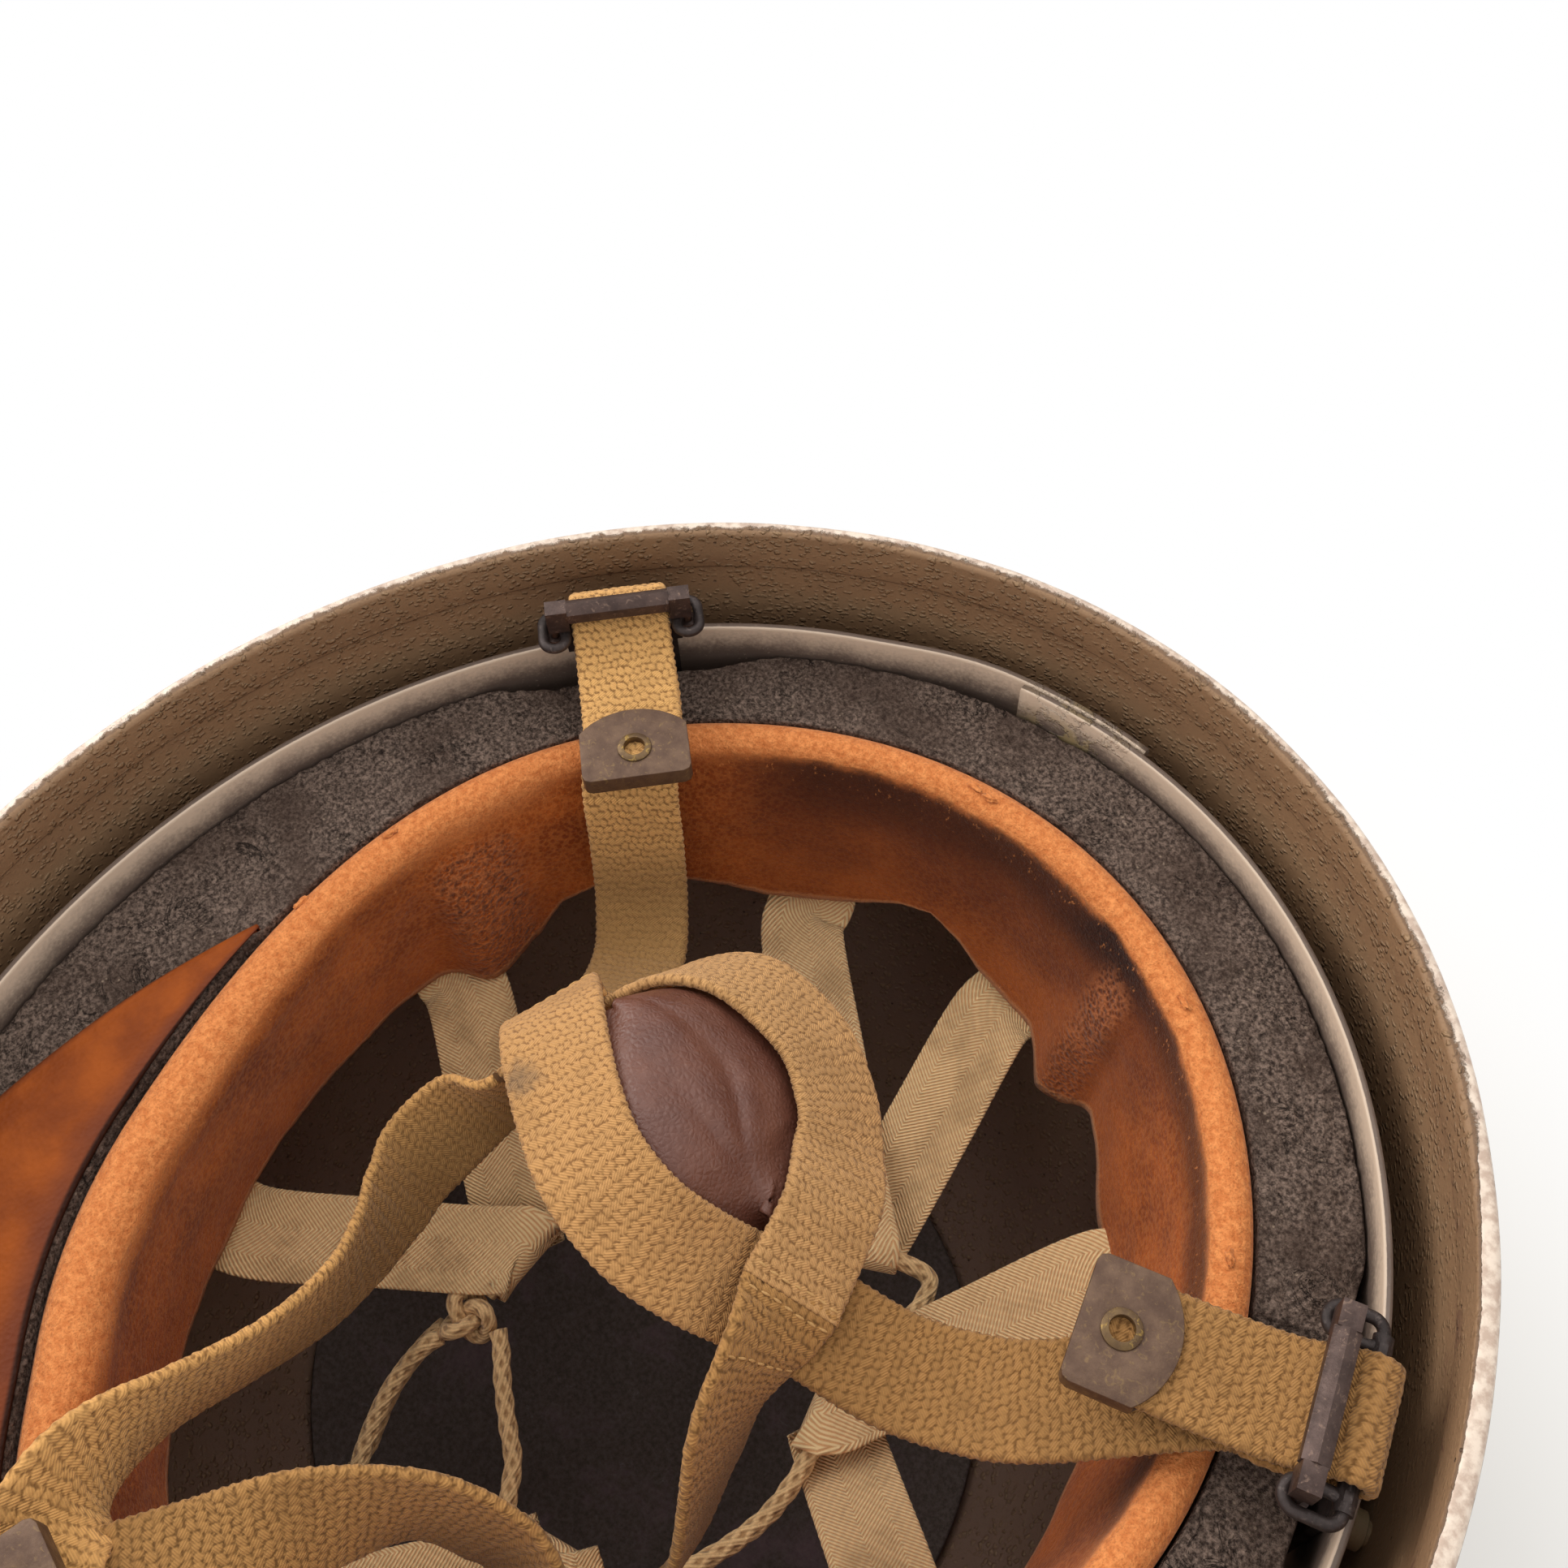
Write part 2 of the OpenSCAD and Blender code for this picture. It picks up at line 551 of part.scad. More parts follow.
function steel_out(angle, depth) =
    let (k = fullness(depth - rim_t - seat_gap, shell_h))
    k / norm([sin(angle) / shell_w, cos(angle) / shell_l]);
// How far the shell's outer face stands out from the fibre band's inner face, and its slope there
function steel_gap(angle) = steel_out(angle, rivet_depth) - norm(oval(angle, band_face, helmet_height));
function steel_slope(angle) = atan((steel_out(angle, rivet_depth - 2) - steel_out(angle, rivet_depth + 2)) / 4);

// How far the shell's curve falls away between the bracket's middle and a rivet
shell_fall = pow(rivet_pitch / 2, 2) / (shell_l + shell_w);

// Local z runs outwards along a rivet, from the shell's outer face
module rivet_places(angle)
    for (side = [-1, 1]) at_bracket(angle)
        translate([side * rivet_pitch / 2, steel_gap(angle) - shell_fall, -rivet_depth])
            rotate([-90 - steel_slope(angle), 0, 0]) children();

module rivet_bore() translate([0, 0, -30]) cylinder(d = rivet_d + 2 * seat_gap, h = 34, $fn = 32);

module bracket_rivets() color([0.33, 0.29, 0.20]) {
    for (a = bracket_angles) rivet_places(a) {
        out = steel_gap(a) - shell_fall;
        // The shell is curved and the rivet slants, so heads and shoulders stand a little further off
        head_gap = seat_gap + 0.15;
        shoulder_from = shell_wall + 2 * seat_gap + 0.4;
        shoulder_to = out - band_t - 2 * seat_gap - 0.3;
        end = out + plate_back + plate_t + seat_gap + 0.45;
        rotate([180, 0, 0]) rotate_extrude($fn = 32) polygon([
            [0, -2.3], [rivet_head_d * 0.28, -2], [rivet_head_d * 0.44, -1.2], [rivet_head_d / 2, -head_gap],
            [rivet_d / 2, -head_gap], [rivet_d / 2, shoulder_from], [rivet_d / 2 + 1.2, shoulder_from],
            [rivet_d / 2 + 1.2, shoulder_to], [rivet_d / 2, shoulder_to], [rivet_d / 2, end],
            [rivet_d / 2 + 1.5, end], [rivet_d / 2 + 1, end + clench_t - 0.5], [0, end + clench_t - 0.4]]);
    }
}

// The clamp bars, which pinch the webbing against the fixed bar. The one on the right has been slid off it.

module clamp_bar(angle, slid) color([0.23, 0.18, 0.16]) {
    block_x = eye_x + leg_d / 2 - arm_in;
    block_low = -bar_depth + eye_rod / 2 + slide_play;
    leg_low = -bar_depth - eye_rod / 2 - slide_play;
    at_bracket(angle) translate([0, -clamp_in - slid, 0]) {
        translate([-arm_in, 0, clamp_high]) rotate([0, 90, 0])
            cylinder(d = clamp_af / cos(30), h = 2 * arm_in, $fn = 6);
        for (side = [-1, 1]) {
            translate([side * (arm_in + block_x / 2) - block_x / 2, -block_w / 2, block_low])
                cube([block_x, block_w, clamp_high + clamp_af / 2 - 0.2 - block_low]);
            translate([side * eye_x, 0, leg_low - 0.1])
                cylinder(d = leg_d, h = block_low - leg_low + 0.2, $fn = 24);
            translate([side * eye_x, 0, leg_low - 1]) cylinder(d = foot_d, h = 1, $fn = 24);
        }
    }
}
module clamp_bar_left() clamp_bar(-bracket_angle, 0);
module clamp_bar_right() clamp_bar(bracket_angle, clamp_travel);
module clamp_bar_rear() clamp_bar(180, 0);

// The straps. Each folds round its fixed bar and comes back out under the clamp bar.

tail_l = [41, 44.5, 39];
tail_high = -13;
function bar_side(angle) = unit(from_bracket(angle, 1, 0, 0) - from_bracket(angle, 0, 0, 0));
function round_bar(angle, turn) =
    from_bracket(angle, 0, bar_out + loop_r * cos(turn), -bar_depth + loop_r * sin(turn));
// From under the tail, round the bar and out to the tail's end
function bracket_route(angle, tail) = concat(
    [from_bracket(angle, 0, 22, -18.3), from_bracket(angle, 0, 12, -14.4)],
    [for (t = [260, 220, 180, 140, 100, 60]) round_bar(angle, t)],
    [from_bracket(angle, 0, 9.5, -8.6), from_bracket(angle, 0, 15, -11.4),
     from_bracket(angle, 0, tail - tip_l - 2, tail_high), from_bracket(angle, 0, tail - tip_l / 2, tail_high),
     from_bracket(angle, 0, tail - tip_sheet - soft_gap, tail_high)]);
bracket_stations = 13;

// The route from the cup as points below the rim, with the direction of the strap's width at each
module strap(angle, tail, route, widths) {
    points = concat([for (p = route) fit(p) + below_rim], bracket_route(angle, tail));
    side = bar_side(angle) * sign(bar_side(angle) * widths[len(widths) - 1]);
    sides = concat(widths, [for (i = [1:bracket_stations]) side]);
    difference() {
        strip(spline(points, 3), spline(sides, 3), web_w, web_t);
        tip_place(angle, tail)
            cylinder(d = eyelet_bore + 2 * eyelet_wall + 2 * soft_gap, h = 8, center = true, $fn = 32);
    }
}

module front_strap_right() color([0.66, 0.52, 0.31]) strap(bracket_angle, tail_l[1],
    [[31.5, 18.5, -35.6], [44, 24, -37], [54, 30, -34], [63, 37.5, -28.5]],
    [[-0.42, 0.88, 0.15], [-0.55, 0.8, 0.15], [-0.6, 0.78, 0.1], [-0.62, 0.78, 0]]);
module front_strap_left() color([0.66, 0.52, 0.31]) strap(-bracket_angle, tail_l[0],
    [[-41.3, 17.5, -39.5], [-44.5, 26, -48.5], [-53, 37, -56], [-61.5, 44, -52], [-67, 48, -40],
     [-71.5, 51, -28]],
    concat([[0.1, 0.98, -0.2], [0.3, 0.9, -0.15]], [for (k = [1:4]) [0.6, 0.8, 0]]));

module rear_strap_left() color([0.66, 0.52, 0.31]) strap(180, tail_l[2],
    [[-38.3, -1, -41.8], [-41.2, -8.5, -46], [-40.6, -19, -50], [-36.4, -27, -50.5], [-31, -35.5, -49],
     [-26, -45, -45], [-22, -58, -37], [-19.5, -73, -27.6], [-14.7, -86, -19.6], [-5, -97, -18.8]],
    [[0, 0.2, -0.95], [0.5, -0.05, -0.8], [0.65, -0.2, -0.74], [0.62, -0.36, -0.68], [0.45, -0.5, -0.74],
     [0.3, -0.5, -0.8], [0.5, -0.35, -0.78], [0.85, -0.2, -0.3], [1, -0.02, 0], [1, 0, 0]]);

// This one ends under the other, to which it is sewn
module rear_strap_right() color([0.66, 0.52, 0.31]) {
    from_cup = [[28.6, 13, -28.2], [31.3, 6.3, -29.4], [34, -1.5, -35], [38, -9, -46], [43, -19, -56],
        [44, -31, -58], [37, -39, -53], [26, -41, -44], [16, -48, -36], [9.5, -62, -30], [6, -76, -26.6]];
    route = concat([for (p = from_cup) fit(p) + below_rim],
        [from_bracket(180, 0, 34, -22.9), from_bracket(180, 0, 22, -21.3)]);
    widths = [[-0.72, -0.38, 0.55], [-0.68, -0.34, 0.6], [-0.5, -0.3, 0.8], [-0.3, -0.3, 0.9],
        [0.1, -0.3, 0.9], [0.3, 0.1, 0.9], [0.2, 0.3, 0.9], [0.1, 0.5, 0.85], [-0.1, 0.4, 0.9],
        [-0.6, 0.2, 0.75], [-0.9, 0.1, 0.35], [-1, 0, 0.05], [-1, 0, 0]];
    strip(spline(route, 4), spline(widths, 4), web_w, web_t);
}

// The strap tips, brass sheet folded over the strap's end with an eyelet through it

eyelet_wall = 0.5;
tip_t = web_t + 2 * soft_gap + 2 * tip_sheet;
module tip_place(angle, tail) at_bracket(angle) translate([0, -(tail - tip_l * 0.42), tail_high]) children();

module strap_tip(angle, tail) color([0.42, 0.33, 0.22]) {
    arc_r = 14;
    tip_place(angle, tail) difference() {
        intersection() {
            translate([-tip_w / 2, -tip_l * 0.42, -tip_t / 2]) cube([tip_w, tip_l, tip_t]);
            translate([0, tip_l * 0.58 - arc_r, -tip_t]) cylinder(r = arc_r, h = 2 * tip_t, $fn = 64);
            translate([0, -tip_l * 0.42, -tip_t]) linear_extrude(2 * tip_t) polygon([
                [-tip_w / 2, tip_l], [tip_w / 2, tip_l], [tip_w / 2, 1.5], [tip_w / 2 - 0.45, 0.45],
                [tip_w / 2 - 1.5, 0], [-tip_w / 2 + 1.5, 0], [-tip_w / 2 + 0.45, 0.45], [-tip_w / 2, 1.5]]);
        }
        translate([-web_w / 2 - soft_gap, -tip_l * 0.42 + tip_sheet, -web_t / 2 - soft_gap])
            cube([web_w + 2 * soft_gap, tip_l + 1, web_t + 2 * soft_gap]);
        cylinder(d = eyelet_bore + 2 * eyelet_wall + 2 * 0.1, h = 8, center = true, $fn = 32);
    }
}
module strap_tip_right() strap_tip(bracket_angle, tail_l[1]);
module strap_tip_left() strap_tip(-bracket_angle, tail_l[0]);
module strap_tip_rear() strap_tip(180, tail_l[2]);

module tip_eyelets() color([0.62, 0.50, 0.22]) {
    flange = 0.5;
    for (p = [[bracket_angle, tail_l[1]], [-bracket_angle, tail_l[0]], [180, tail_l[2]]]) tip_place(p[0], p[1])
        rotate_extrude($fn = 32) polygon([
            [eyelet_bore / 2, -tip_t / 2 - flange - 0.1], [eyelet_d / 2, -tip_t / 2 - flange * 0.4 - 0.1],
            [eyelet_d / 2, -tip_t / 2 - 0.1], [eyelet_bore / 2 + eyelet_wall, -tip_t / 2 - 0.1],
            [eyelet_bore / 2 + eyelet_wall, tip_t / 2 + 0.1], [eyelet_d / 2, tip_t / 2 + 0.1],
            [eyelet_d / 2, tip_t / 2 + flange * 0.4 + 0.1], [eyelet_bore / 2, tip_t / 2 + flange + 0.1]]);
}

// The chin cup, two webs that cross at each end with a leather lining between them

cup_low = [[-40.3, 14.5, -35], [-40, 13.5, -26], [-34, 11, -16.8], [-26, 7.5, -12.8], [-15, 3.5, -11],
    [-4, 1, -11], [7, 2, -14.5], [15, 6, -21], [21, 11, -28.5], [28.5, 16.5, -34.3]];
cup_low_side = [[0, 1, -0.1], [0.05, 1, 0], [0.22, 0.95, 0.1], [0.35, 0.9, 0.2], [0.25, 0.93, 0.3],
    [0.1, 0.95, 0.3], [-0.1, 0.95, 0.3], [-0.3, 0.92, 0.2], [-0.4, 0.9, 0.14], [-0.42, 0.88, 0.15]];
cup_high = [[-37.6, 3, -39.5], [-36.5, 12, -35.5], [-34.2, 22.3, -30.5], [-31, 34.5, -25.8], [-21.9, 43.6, -24.2],
    [-7.6, 46.9, -27.2], [3.5, 44, -29.3], [11.5, 38.8, -29.6], [20, 30, -26.6], [27.3, 16, -27.5]];
cup_high_side = [[-0.1, 0.25, -0.95], [-0.1, 0.2, -0.97], [-0.15, 0.3, -0.93], [-0.3, 0.5, -0.8],
    [-0.26, 0.76, -0.59], [-0.17, 0.81, -0.56], [0.03, 0.8, -0.59], [0.12, 0.78, -0.61], [0.42, 0.68, -0.56],
    [0.69, 0.46, -0.5]];

// Finer lines along both webs, with the side that faces the wearer's front on the same hand all along
low_line = [for (p = spline(cup_low, 3)) fit(p) + below_rim];
high_line = [for (p = spline(cup_high, 3)) fit(p) + below_rim];
low_side = spline(cup_low_side, 3);
high_side = spline(cup_high_side, 3);

module cup_web_rear() color([0.74, 0.58, 0.34]) strip(low_line, low_side, web_w, web_t);
module cup_web_front() color([0.72, 0.56, 0.33]) strip(high_line, high_side, web_w, web_t);

// The leather's section from under one web to under the other, at one place along both
module chin_cup_leather() {
    from = 8;
    to = 24;
    tuck = web_w / 2 - 4;
    under = web_t / 2 + soft_gap + cup_t / 2 + 0.1;
    function below(line, side, i, out) =
        let (t = tangent(line, i), s = unit(side[i] - t * (side[i] * t)), n = cross(t, s))
        line[i] + s * out - n * (n[2] < 0 ? -under : under);
    function section(i) =
        let (a = below(low_line, low_side, i, tuck), b = below(low_line, low_side, i, web_w / 2 + 1),
            slack = [0, 0, -2], c = below(high_line, high_side, i, -web_w / 2 - 1) + slack,
            d = below(high_line, high_side, i, -tuck) + slack)
        [a, b, mix(b, c, 0.35) + [0, 0, cup_crown], mix(b, c, 0.65) + [0, 0, cup_crown], c, d];
    function thick(p, i) =
        let (v = unit(p[min(i + 1, 5)] - p[max(i - 1, 0)])) unit(cross([1, 0, 0], v)) * cup_t / 2;
    color([0.30, 0.18, 0.14]) loft([for (i = [from:to]) let (p = section(i)) concat(
        [for (k = [5:-1:0]) p[k] + thick(p, k)],
        [for (k = [0:5]) p[k] - thick(p, k)])]);
}

shell();
rim_band();
liner_band();
foam_ring();
sweatband();
sweatband_flap();
crown_pad();
tape_left();
tape_front();
tape_right();
tape_rear();
drawcord();
drawcord_knot();
drawcord_tail_long();
drawcord_tail_short();
bracket_left();
bracket_right();
bracket_rear();
bracket_rivets();
clamp_bar_left();
clamp_bar_right();
clamp_bar_rear();
front_strap_right();
front_strap_left();
rear_strap_right();
rear_strap_left();
strap_tip_right();
strap_tip_left();
strap_tip_rear();
tip_eyelets();
cup_web_front();
cup_web_rear();
chin_cup_leather();
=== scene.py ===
import math

import bpy
import numpy as np
from mathutils import Matrix, Vector, noise


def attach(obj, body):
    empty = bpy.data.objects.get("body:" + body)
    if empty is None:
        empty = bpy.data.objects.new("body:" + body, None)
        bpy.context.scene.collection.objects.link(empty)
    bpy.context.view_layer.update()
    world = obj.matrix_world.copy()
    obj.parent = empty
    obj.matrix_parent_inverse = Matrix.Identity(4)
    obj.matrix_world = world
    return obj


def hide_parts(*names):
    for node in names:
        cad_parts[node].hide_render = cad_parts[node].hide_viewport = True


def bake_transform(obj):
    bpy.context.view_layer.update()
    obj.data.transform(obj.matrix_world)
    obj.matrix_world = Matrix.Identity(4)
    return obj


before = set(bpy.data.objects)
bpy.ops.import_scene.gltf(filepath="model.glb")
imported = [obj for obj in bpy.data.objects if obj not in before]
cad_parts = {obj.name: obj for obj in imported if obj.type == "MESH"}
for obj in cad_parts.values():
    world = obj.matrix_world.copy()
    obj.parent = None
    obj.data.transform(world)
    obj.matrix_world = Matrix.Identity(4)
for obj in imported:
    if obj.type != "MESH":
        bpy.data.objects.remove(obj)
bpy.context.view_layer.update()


# The view into the bowl from above its rear right, set to the photograph's own camera,
# and a pale studio: a white floor that keeps the shadow near the helmet, a pale world and two soft lamps.
bpy.ops.object.select_all(action="DESELECT")
bpy.ops.object.camera_add(location=(0.09083, -0.02278, 0.4013))
view = bpy.context.object
view.name = "view"
sight = Matrix(((0.5996, -0.6554, 0.4592), (0.7997, 0.5127, -0.3124), (-0.0307, 0.5546, 0.8316)))
view.rotation_euler = sight.to_euler()
view.data.sensor_width = 36
view.data.lens = 36.73
view.data.clip_start = 0.01
bpy.context.scene.camera = view
bpy.context.scene.view_settings.view_transform = "Standard"

bpy.ops.mesh.primitive_circle_add(vertices=96, radius=4, fill_type="NGON", location=(0, 0, 0))
floor = bpy.context.object
floor.name = "studio_floor"


class Wire:
    """A value in a material's nodes, which plain arithmetic joins to others."""

    def __init__(self, paint, socket):
        self.paint, self.socket = paint, socket

    def math(self, operation, *others):
        """A function of this value, and of others where it takes them."""
        return self.paint.node("ShaderNodeMath", {"operation": operation}, self, *others)

    def __add__(self, other): return self.math("ADD", other)
    def __sub__(self, other): return self.math("SUBTRACT", other)
    def __mul__(self, other): return self.math("MULTIPLY", other)
    def __truediv__(self, other): return self.math("DIVIDE", other)
    def __rsub__(self, other): return self.paint.node("ShaderNodeMath", {"operation": "SUBTRACT"}, other, self)
    __radd__, __rmul__ = __add__, __mul__


class Paint:
    """A material, made node by node."""

    def __init__(self, name):
        self.material = bpy.data.materials.new(name)
        self.material.use_nodes = True
        self.tree = self.material.node_tree
        self.tree.nodes.clear()
        self.end = self.tree.nodes.new("ShaderNodeOutputMaterial")

    def feed(self, socket, value):
        if isinstance(value, Wire):
            self.tree.links.new(value.socket, socket)
        elif value is not None:
            socket.default_value = value

    def node(self, kind, settings=None, *values, out=0, **named):
        made = self.tree.nodes.new(kind)
        for key, value in (settings or {}).items():
            setattr(made, key, value)
        for key, value in [*enumerate(values), *((k.replace("_", " "), v) for k, v in named.items())]:
            self.feed(made.inputs[key], value)
        return Wire(self, made.outputs[out])

    def place(self):
        """Where a point is on the helmet, in metres."""
        return self.node("ShaderNodeTexCoord", out="Object")

    def uv(self):
        """Where a point is on its piece, as x across and y along, in metres."""
        return self.split(self.node("ShaderNodeUVMap", {"uv_map": "UVMap"}))

    def split(self, vector):
        made = self.tree.nodes.new("ShaderNodeSeparateXYZ")
        self.tree.links.new(vector.socket, made.inputs[0])
        return [Wire(self, s) for s in made.outputs]

    def join(self, x, y, z):
        return self.node("ShaderNodeCombineXYZ", None, x, y, z)

    def speckle(self, size, detail=3, rough=0.55, at=None, bend=0.0):
        """Soft noise from 0 to 1 with grains of a size in metres."""
        return self.node("ShaderNodeTexNoise", None, Vector=at or self.place(), Scale=1 / size, Detail=detail,
                         Roughness=rough, Distortion=bend)

    def cells(self, size, feature="F1", at=None):
        """The distance to the nearest of scattered points, in cells of a size in metres."""
        return self.node("ShaderNodeTexVoronoi", {"feature": feature}, Vector=at or self.place(), Scale=1 / size)

    def step(self, value, low, high, start=0.0, end=1.0):
        """A smooth step from start to end while value goes from low to high."""
        return self.node("ShaderNodeMapRange", {"interpolation_type": "SMOOTHSTEP"}, value, low, high, start, end)

    def mix(self, share, first, second):
        """A colour between two, which are written as the eye sees them, 0 to 255."""
        made = self.tree.nodes.new("ShaderNodeMix")
        made.data_type = "RGBA"
        self.feed(made.inputs[0], share)
        for socket, value in ((made.inputs[6], first), (made.inputs[7], second)):
            self.feed(socket, value if isinstance(value, Wire) else seen(*value))
        return Wire(self, made.outputs[2])

    def coats(self, color, *coats):
        """A colour with others laid over it in turn, each after its share."""
        for share, coat in coats:
            color = self.mix(share, color, coat)
        return color

    def bump(self, height, depth):
        """Relief of a depth in metres where height goes from 0 to 1."""
        return self.node("ShaderNodeBump", None, Distance=depth, Height=height, Strength=1.0)

    def skin(self, color, roughness, normal=None, **fixed):
        """The surface itself. What is fixed is the same all over it."""
        made = self.node("ShaderNodeBsdfPrincipled", None, Base_Color=color, Roughness=roughness, Normal=normal,
                         **fixed)
        self.tree.links.new(made.socket, self.end.inputs[0])
        return self.material


def seen(red, green, blue):
    """A colour as the eye sees it, 0 to 255, turned into the light that it sends back."""
    return (*((c / 255 / 12.92) if c < 10.3 else ((c / 255 + 0.055) / 1.055) ** 2.4 for c in (red, green, blue)), 1)


paper = Paint("floor_paper")
reach = paper.node("ShaderNodeVectorMath", {"operation": "LENGTH"}, paper.place(), out=1)
light_path = paper.tree.nodes.new("ShaderNodeLightPath")
glossy = Wire(paper, light_path.outputs["Is Glossy Ray"])
direct = Wire(paper, light_path.outputs["Is Camera Ray"]).math("MAXIMUM", glossy)
matt = paper.node("ShaderNodeBsdfDiffuse", None, seen(236, 235, 233))
white = paper.node("ShaderNodeEmission", None, (1, 1, 1, 1), 1.0)
both = paper.node("ShaderNodeMixShader", None, direct * paper.step(reach, 0.17, 0.29), matt, white)
paper.tree.links.new(both.socket, paper.end.inputs[0])
floor.data.materials.append(paper.material)

air = bpy.data.worlds.new("studio_air")
bpy.context.scene.world = air
air.use_nodes = True
air.node_tree.nodes.clear()
air_nodes = air.node_tree.nodes
sky, plain = air_nodes.new("ShaderNodeBackground"), air_nodes.new("ShaderNodeBackground")
sky.inputs["Color"].default_value = (1.0, 0.98, 0.955, 1)
sky.inputs["Strength"].default_value = 0.9
plain.inputs["Color"].default_value = (1, 1, 1, 1)
rays, choice = air_nodes.new("ShaderNodeLightPath"), air_nodes.new("ShaderNodeMixShader")
for socket, made in zip(choice.inputs, (rays.outputs["Is Camera Ray"], sky.outputs[0], plain.outputs[0])):
    air.node_tree.links.new(made, socket)
air.node_tree.links.new(choice.outputs[0], air_nodes.new("ShaderNodeOutputWorld").inputs[0])

for name, spot, power in (("lamp_over", (-0.35, 0.55, 1.25), 4.2), ("lamp_side", (-0.95, -0.35, 0.8), 9.0)):
    bpy.ops.object.light_add(type="AREA", location=spot)
    lamp = bpy.context.object
    lamp.name = name
    lamp.data.size = 1.0
    lamp.data.energy = power
    lamp.rotation_euler = (Vector((0, 0, 0.12)) - Vector(spot)).to_track_quat("-Z", "Y").to_euler()
    lamp.data.color = (1.0, 0.97, 0.93)


# The two tails of the drawcord, limp braided cotton hanging from the knot into the bowl,
# cut off bare, with their strands frayed out at the ends.
mm = 0.001
height, half_length, half_width = 168.0, 141.0, 127.0
cord_width, braid_turn = 3.6, 4.6


def only(*pieces):
    """Selects these pieces and nothing else, with the last one active."""
    bpy.ops.object.select_all(action="DESELECT")
    for piece in pieces:
        piece.select_set(True)
        bpy.context.view_layer.objects.active = piece


def between(a, b, c, d, t):
    """A place on the smooth curve from b to c, which comes from a and goes on to d."""
    return 0.5 * (2 * b + (c - a) * t + (2 * a - 5 * b + 4 * c - d) * t * t + (3 * b - a - 3 * c + d) * t ** 3)


def smooth_line(points, gap, closed=False):
    """Points a gap apart along a smooth line through some places, in millimetres, and the line's length."""
    p = np.array(points, float)
    p = np.vstack([p[-1:], p, p[:2]] if closed else [p[:1], p, p[-1:]])
    fine = [between(*p[i:i + 4], t) for i in range(len(p) - 3) for t in np.linspace(0, 1, 24, endpoint=False)]
    fine = np.array([*fine, p[-2]])
    run = np.concatenate([[0], np.cumsum(np.linalg.norm(np.diff(fine[:, :3], axis=0), axis=1))])
    count = max(int(round(run[-1] / gap)), 4)
    at = np.linspace(0, run[-1], count + 1)
    return np.stack([np.interp(at, run, fine[:, k]) for k in range(fine.shape[1])], 1), run[-1]


def unit(v):
    return v / np.maximum(np.linalg.norm(v, axis=-1, keepdims=True), 1e-9)


def laid(name, across, along, place, size, weld=1e-6):
    """A net of small faces. place(u, v) says, in millimetres, where its points from 0 to 1 across and along lie,
    and size gives its width and length for the pattern on it."""
    only()
    bpy.ops.mesh.primitive_grid_add(x_subdivisions=across, y_subdivisions=along, size=2)
    piece = bpy.context.object
    piece.name = piece.data.name = name
    mesh = piece.data
    flat = np.zeros(len(mesh.vertices) * 3)
    mesh.vertices.foreach_get("co", flat)
    flat = flat.reshape(-1, 3)
    u, v = (flat[:, 0] + 1) / 2, (flat[:, 1] + 1) / 2
    corners = np.zeros(len(mesh.loops), int)
    mesh.loops.foreach_get("vertex_index", corners)
    marks = mesh.uv_layers.active.data
    marks.foreach_set("uv", (np.stack([u, v], 1)[corners] * np.array(size) * mm).ravel())
    spots = place(u, v)
    mesh.vertices.foreach_set("co", (spots * mm).ravel())
    mesh.update()
    bpy.ops.object.mode_set(mode="EDIT")
    bpy.ops.mesh.select_all(action="SELECT")
    bpy.ops.mesh.remove_doubles(threshold=weld)
    bpy.ops.mesh.normals_make_consistent(inside=False)
    bpy.ops.object.mode_set(mode="OBJECT")
    bpy.ops.object.shade_smooth()
    return piece


def cap_ends(piece):
    """Closes the open ends of a tube or strip."""
    bpy.ops.object.mode_set(mode="EDIT")
    bpy.ops.mesh.select_all(action="DESELECT")
    bpy.ops.mesh.select_non_manifold()
    bpy.ops.mesh.fill()
    bpy.ops.mesh.select_all(action="SELECT")
    bpy.ops.mesh.normals_make_consistent(inside=False)
    bpy.ops.object.mode_set(mode="OBJECT")


def braid(name, points, width, closed=False, sides=24, gap=0.33, end=0.0):
    """A braided cord along some places, with its strands standing up. Its middle line comes back with it."""
    line, length = smooth_line([(x, y, z + height) for x, y, z in points], gap, closed)
    step = np.roll(line[:-1], -1, 0) - np.roll(line[:-1], 1, 0) if closed else np.gradient(line, axis=0)
    if closed:
        step = np.vstack([step, step[:1]])
    along = unit(step)
    side = unit(np.cross(along, [0.05, 0.1, 1.0]))
    up = np.cross(side, along)
    rows = len(line) - 1

    def place(u, v):
        k = np.rint(v * rows).astype(int)
        turn = u * 2 * np.pi
        run = v * length
        one = np.abs(np.cos(2 * turn + np.pi * run / braid_turn))
        two = np.abs(np.cos(2 * turn - np.pi * run / braid_turn))
        over = 0.16 * np.cos(4 * turn)
        lump = np.maximum(one + over, two - over) - 0.72
        taper = 1 - end * np.clip(1 - (length - run) / 2.5, 0, 1)
        r = (width / 2) * taper * (0.93 + 0.24 * lump)
        return line[k] + (side[k] * np.cos(turn)[:, None] + up[k] * np.sin(turn)[:, None]) * r[:, None]

    piece = laid(name, sides, rows, place, (width * np.pi, length))
    if not closed:
        cap_ends(piece)
    return piece, line * mm, length * mm


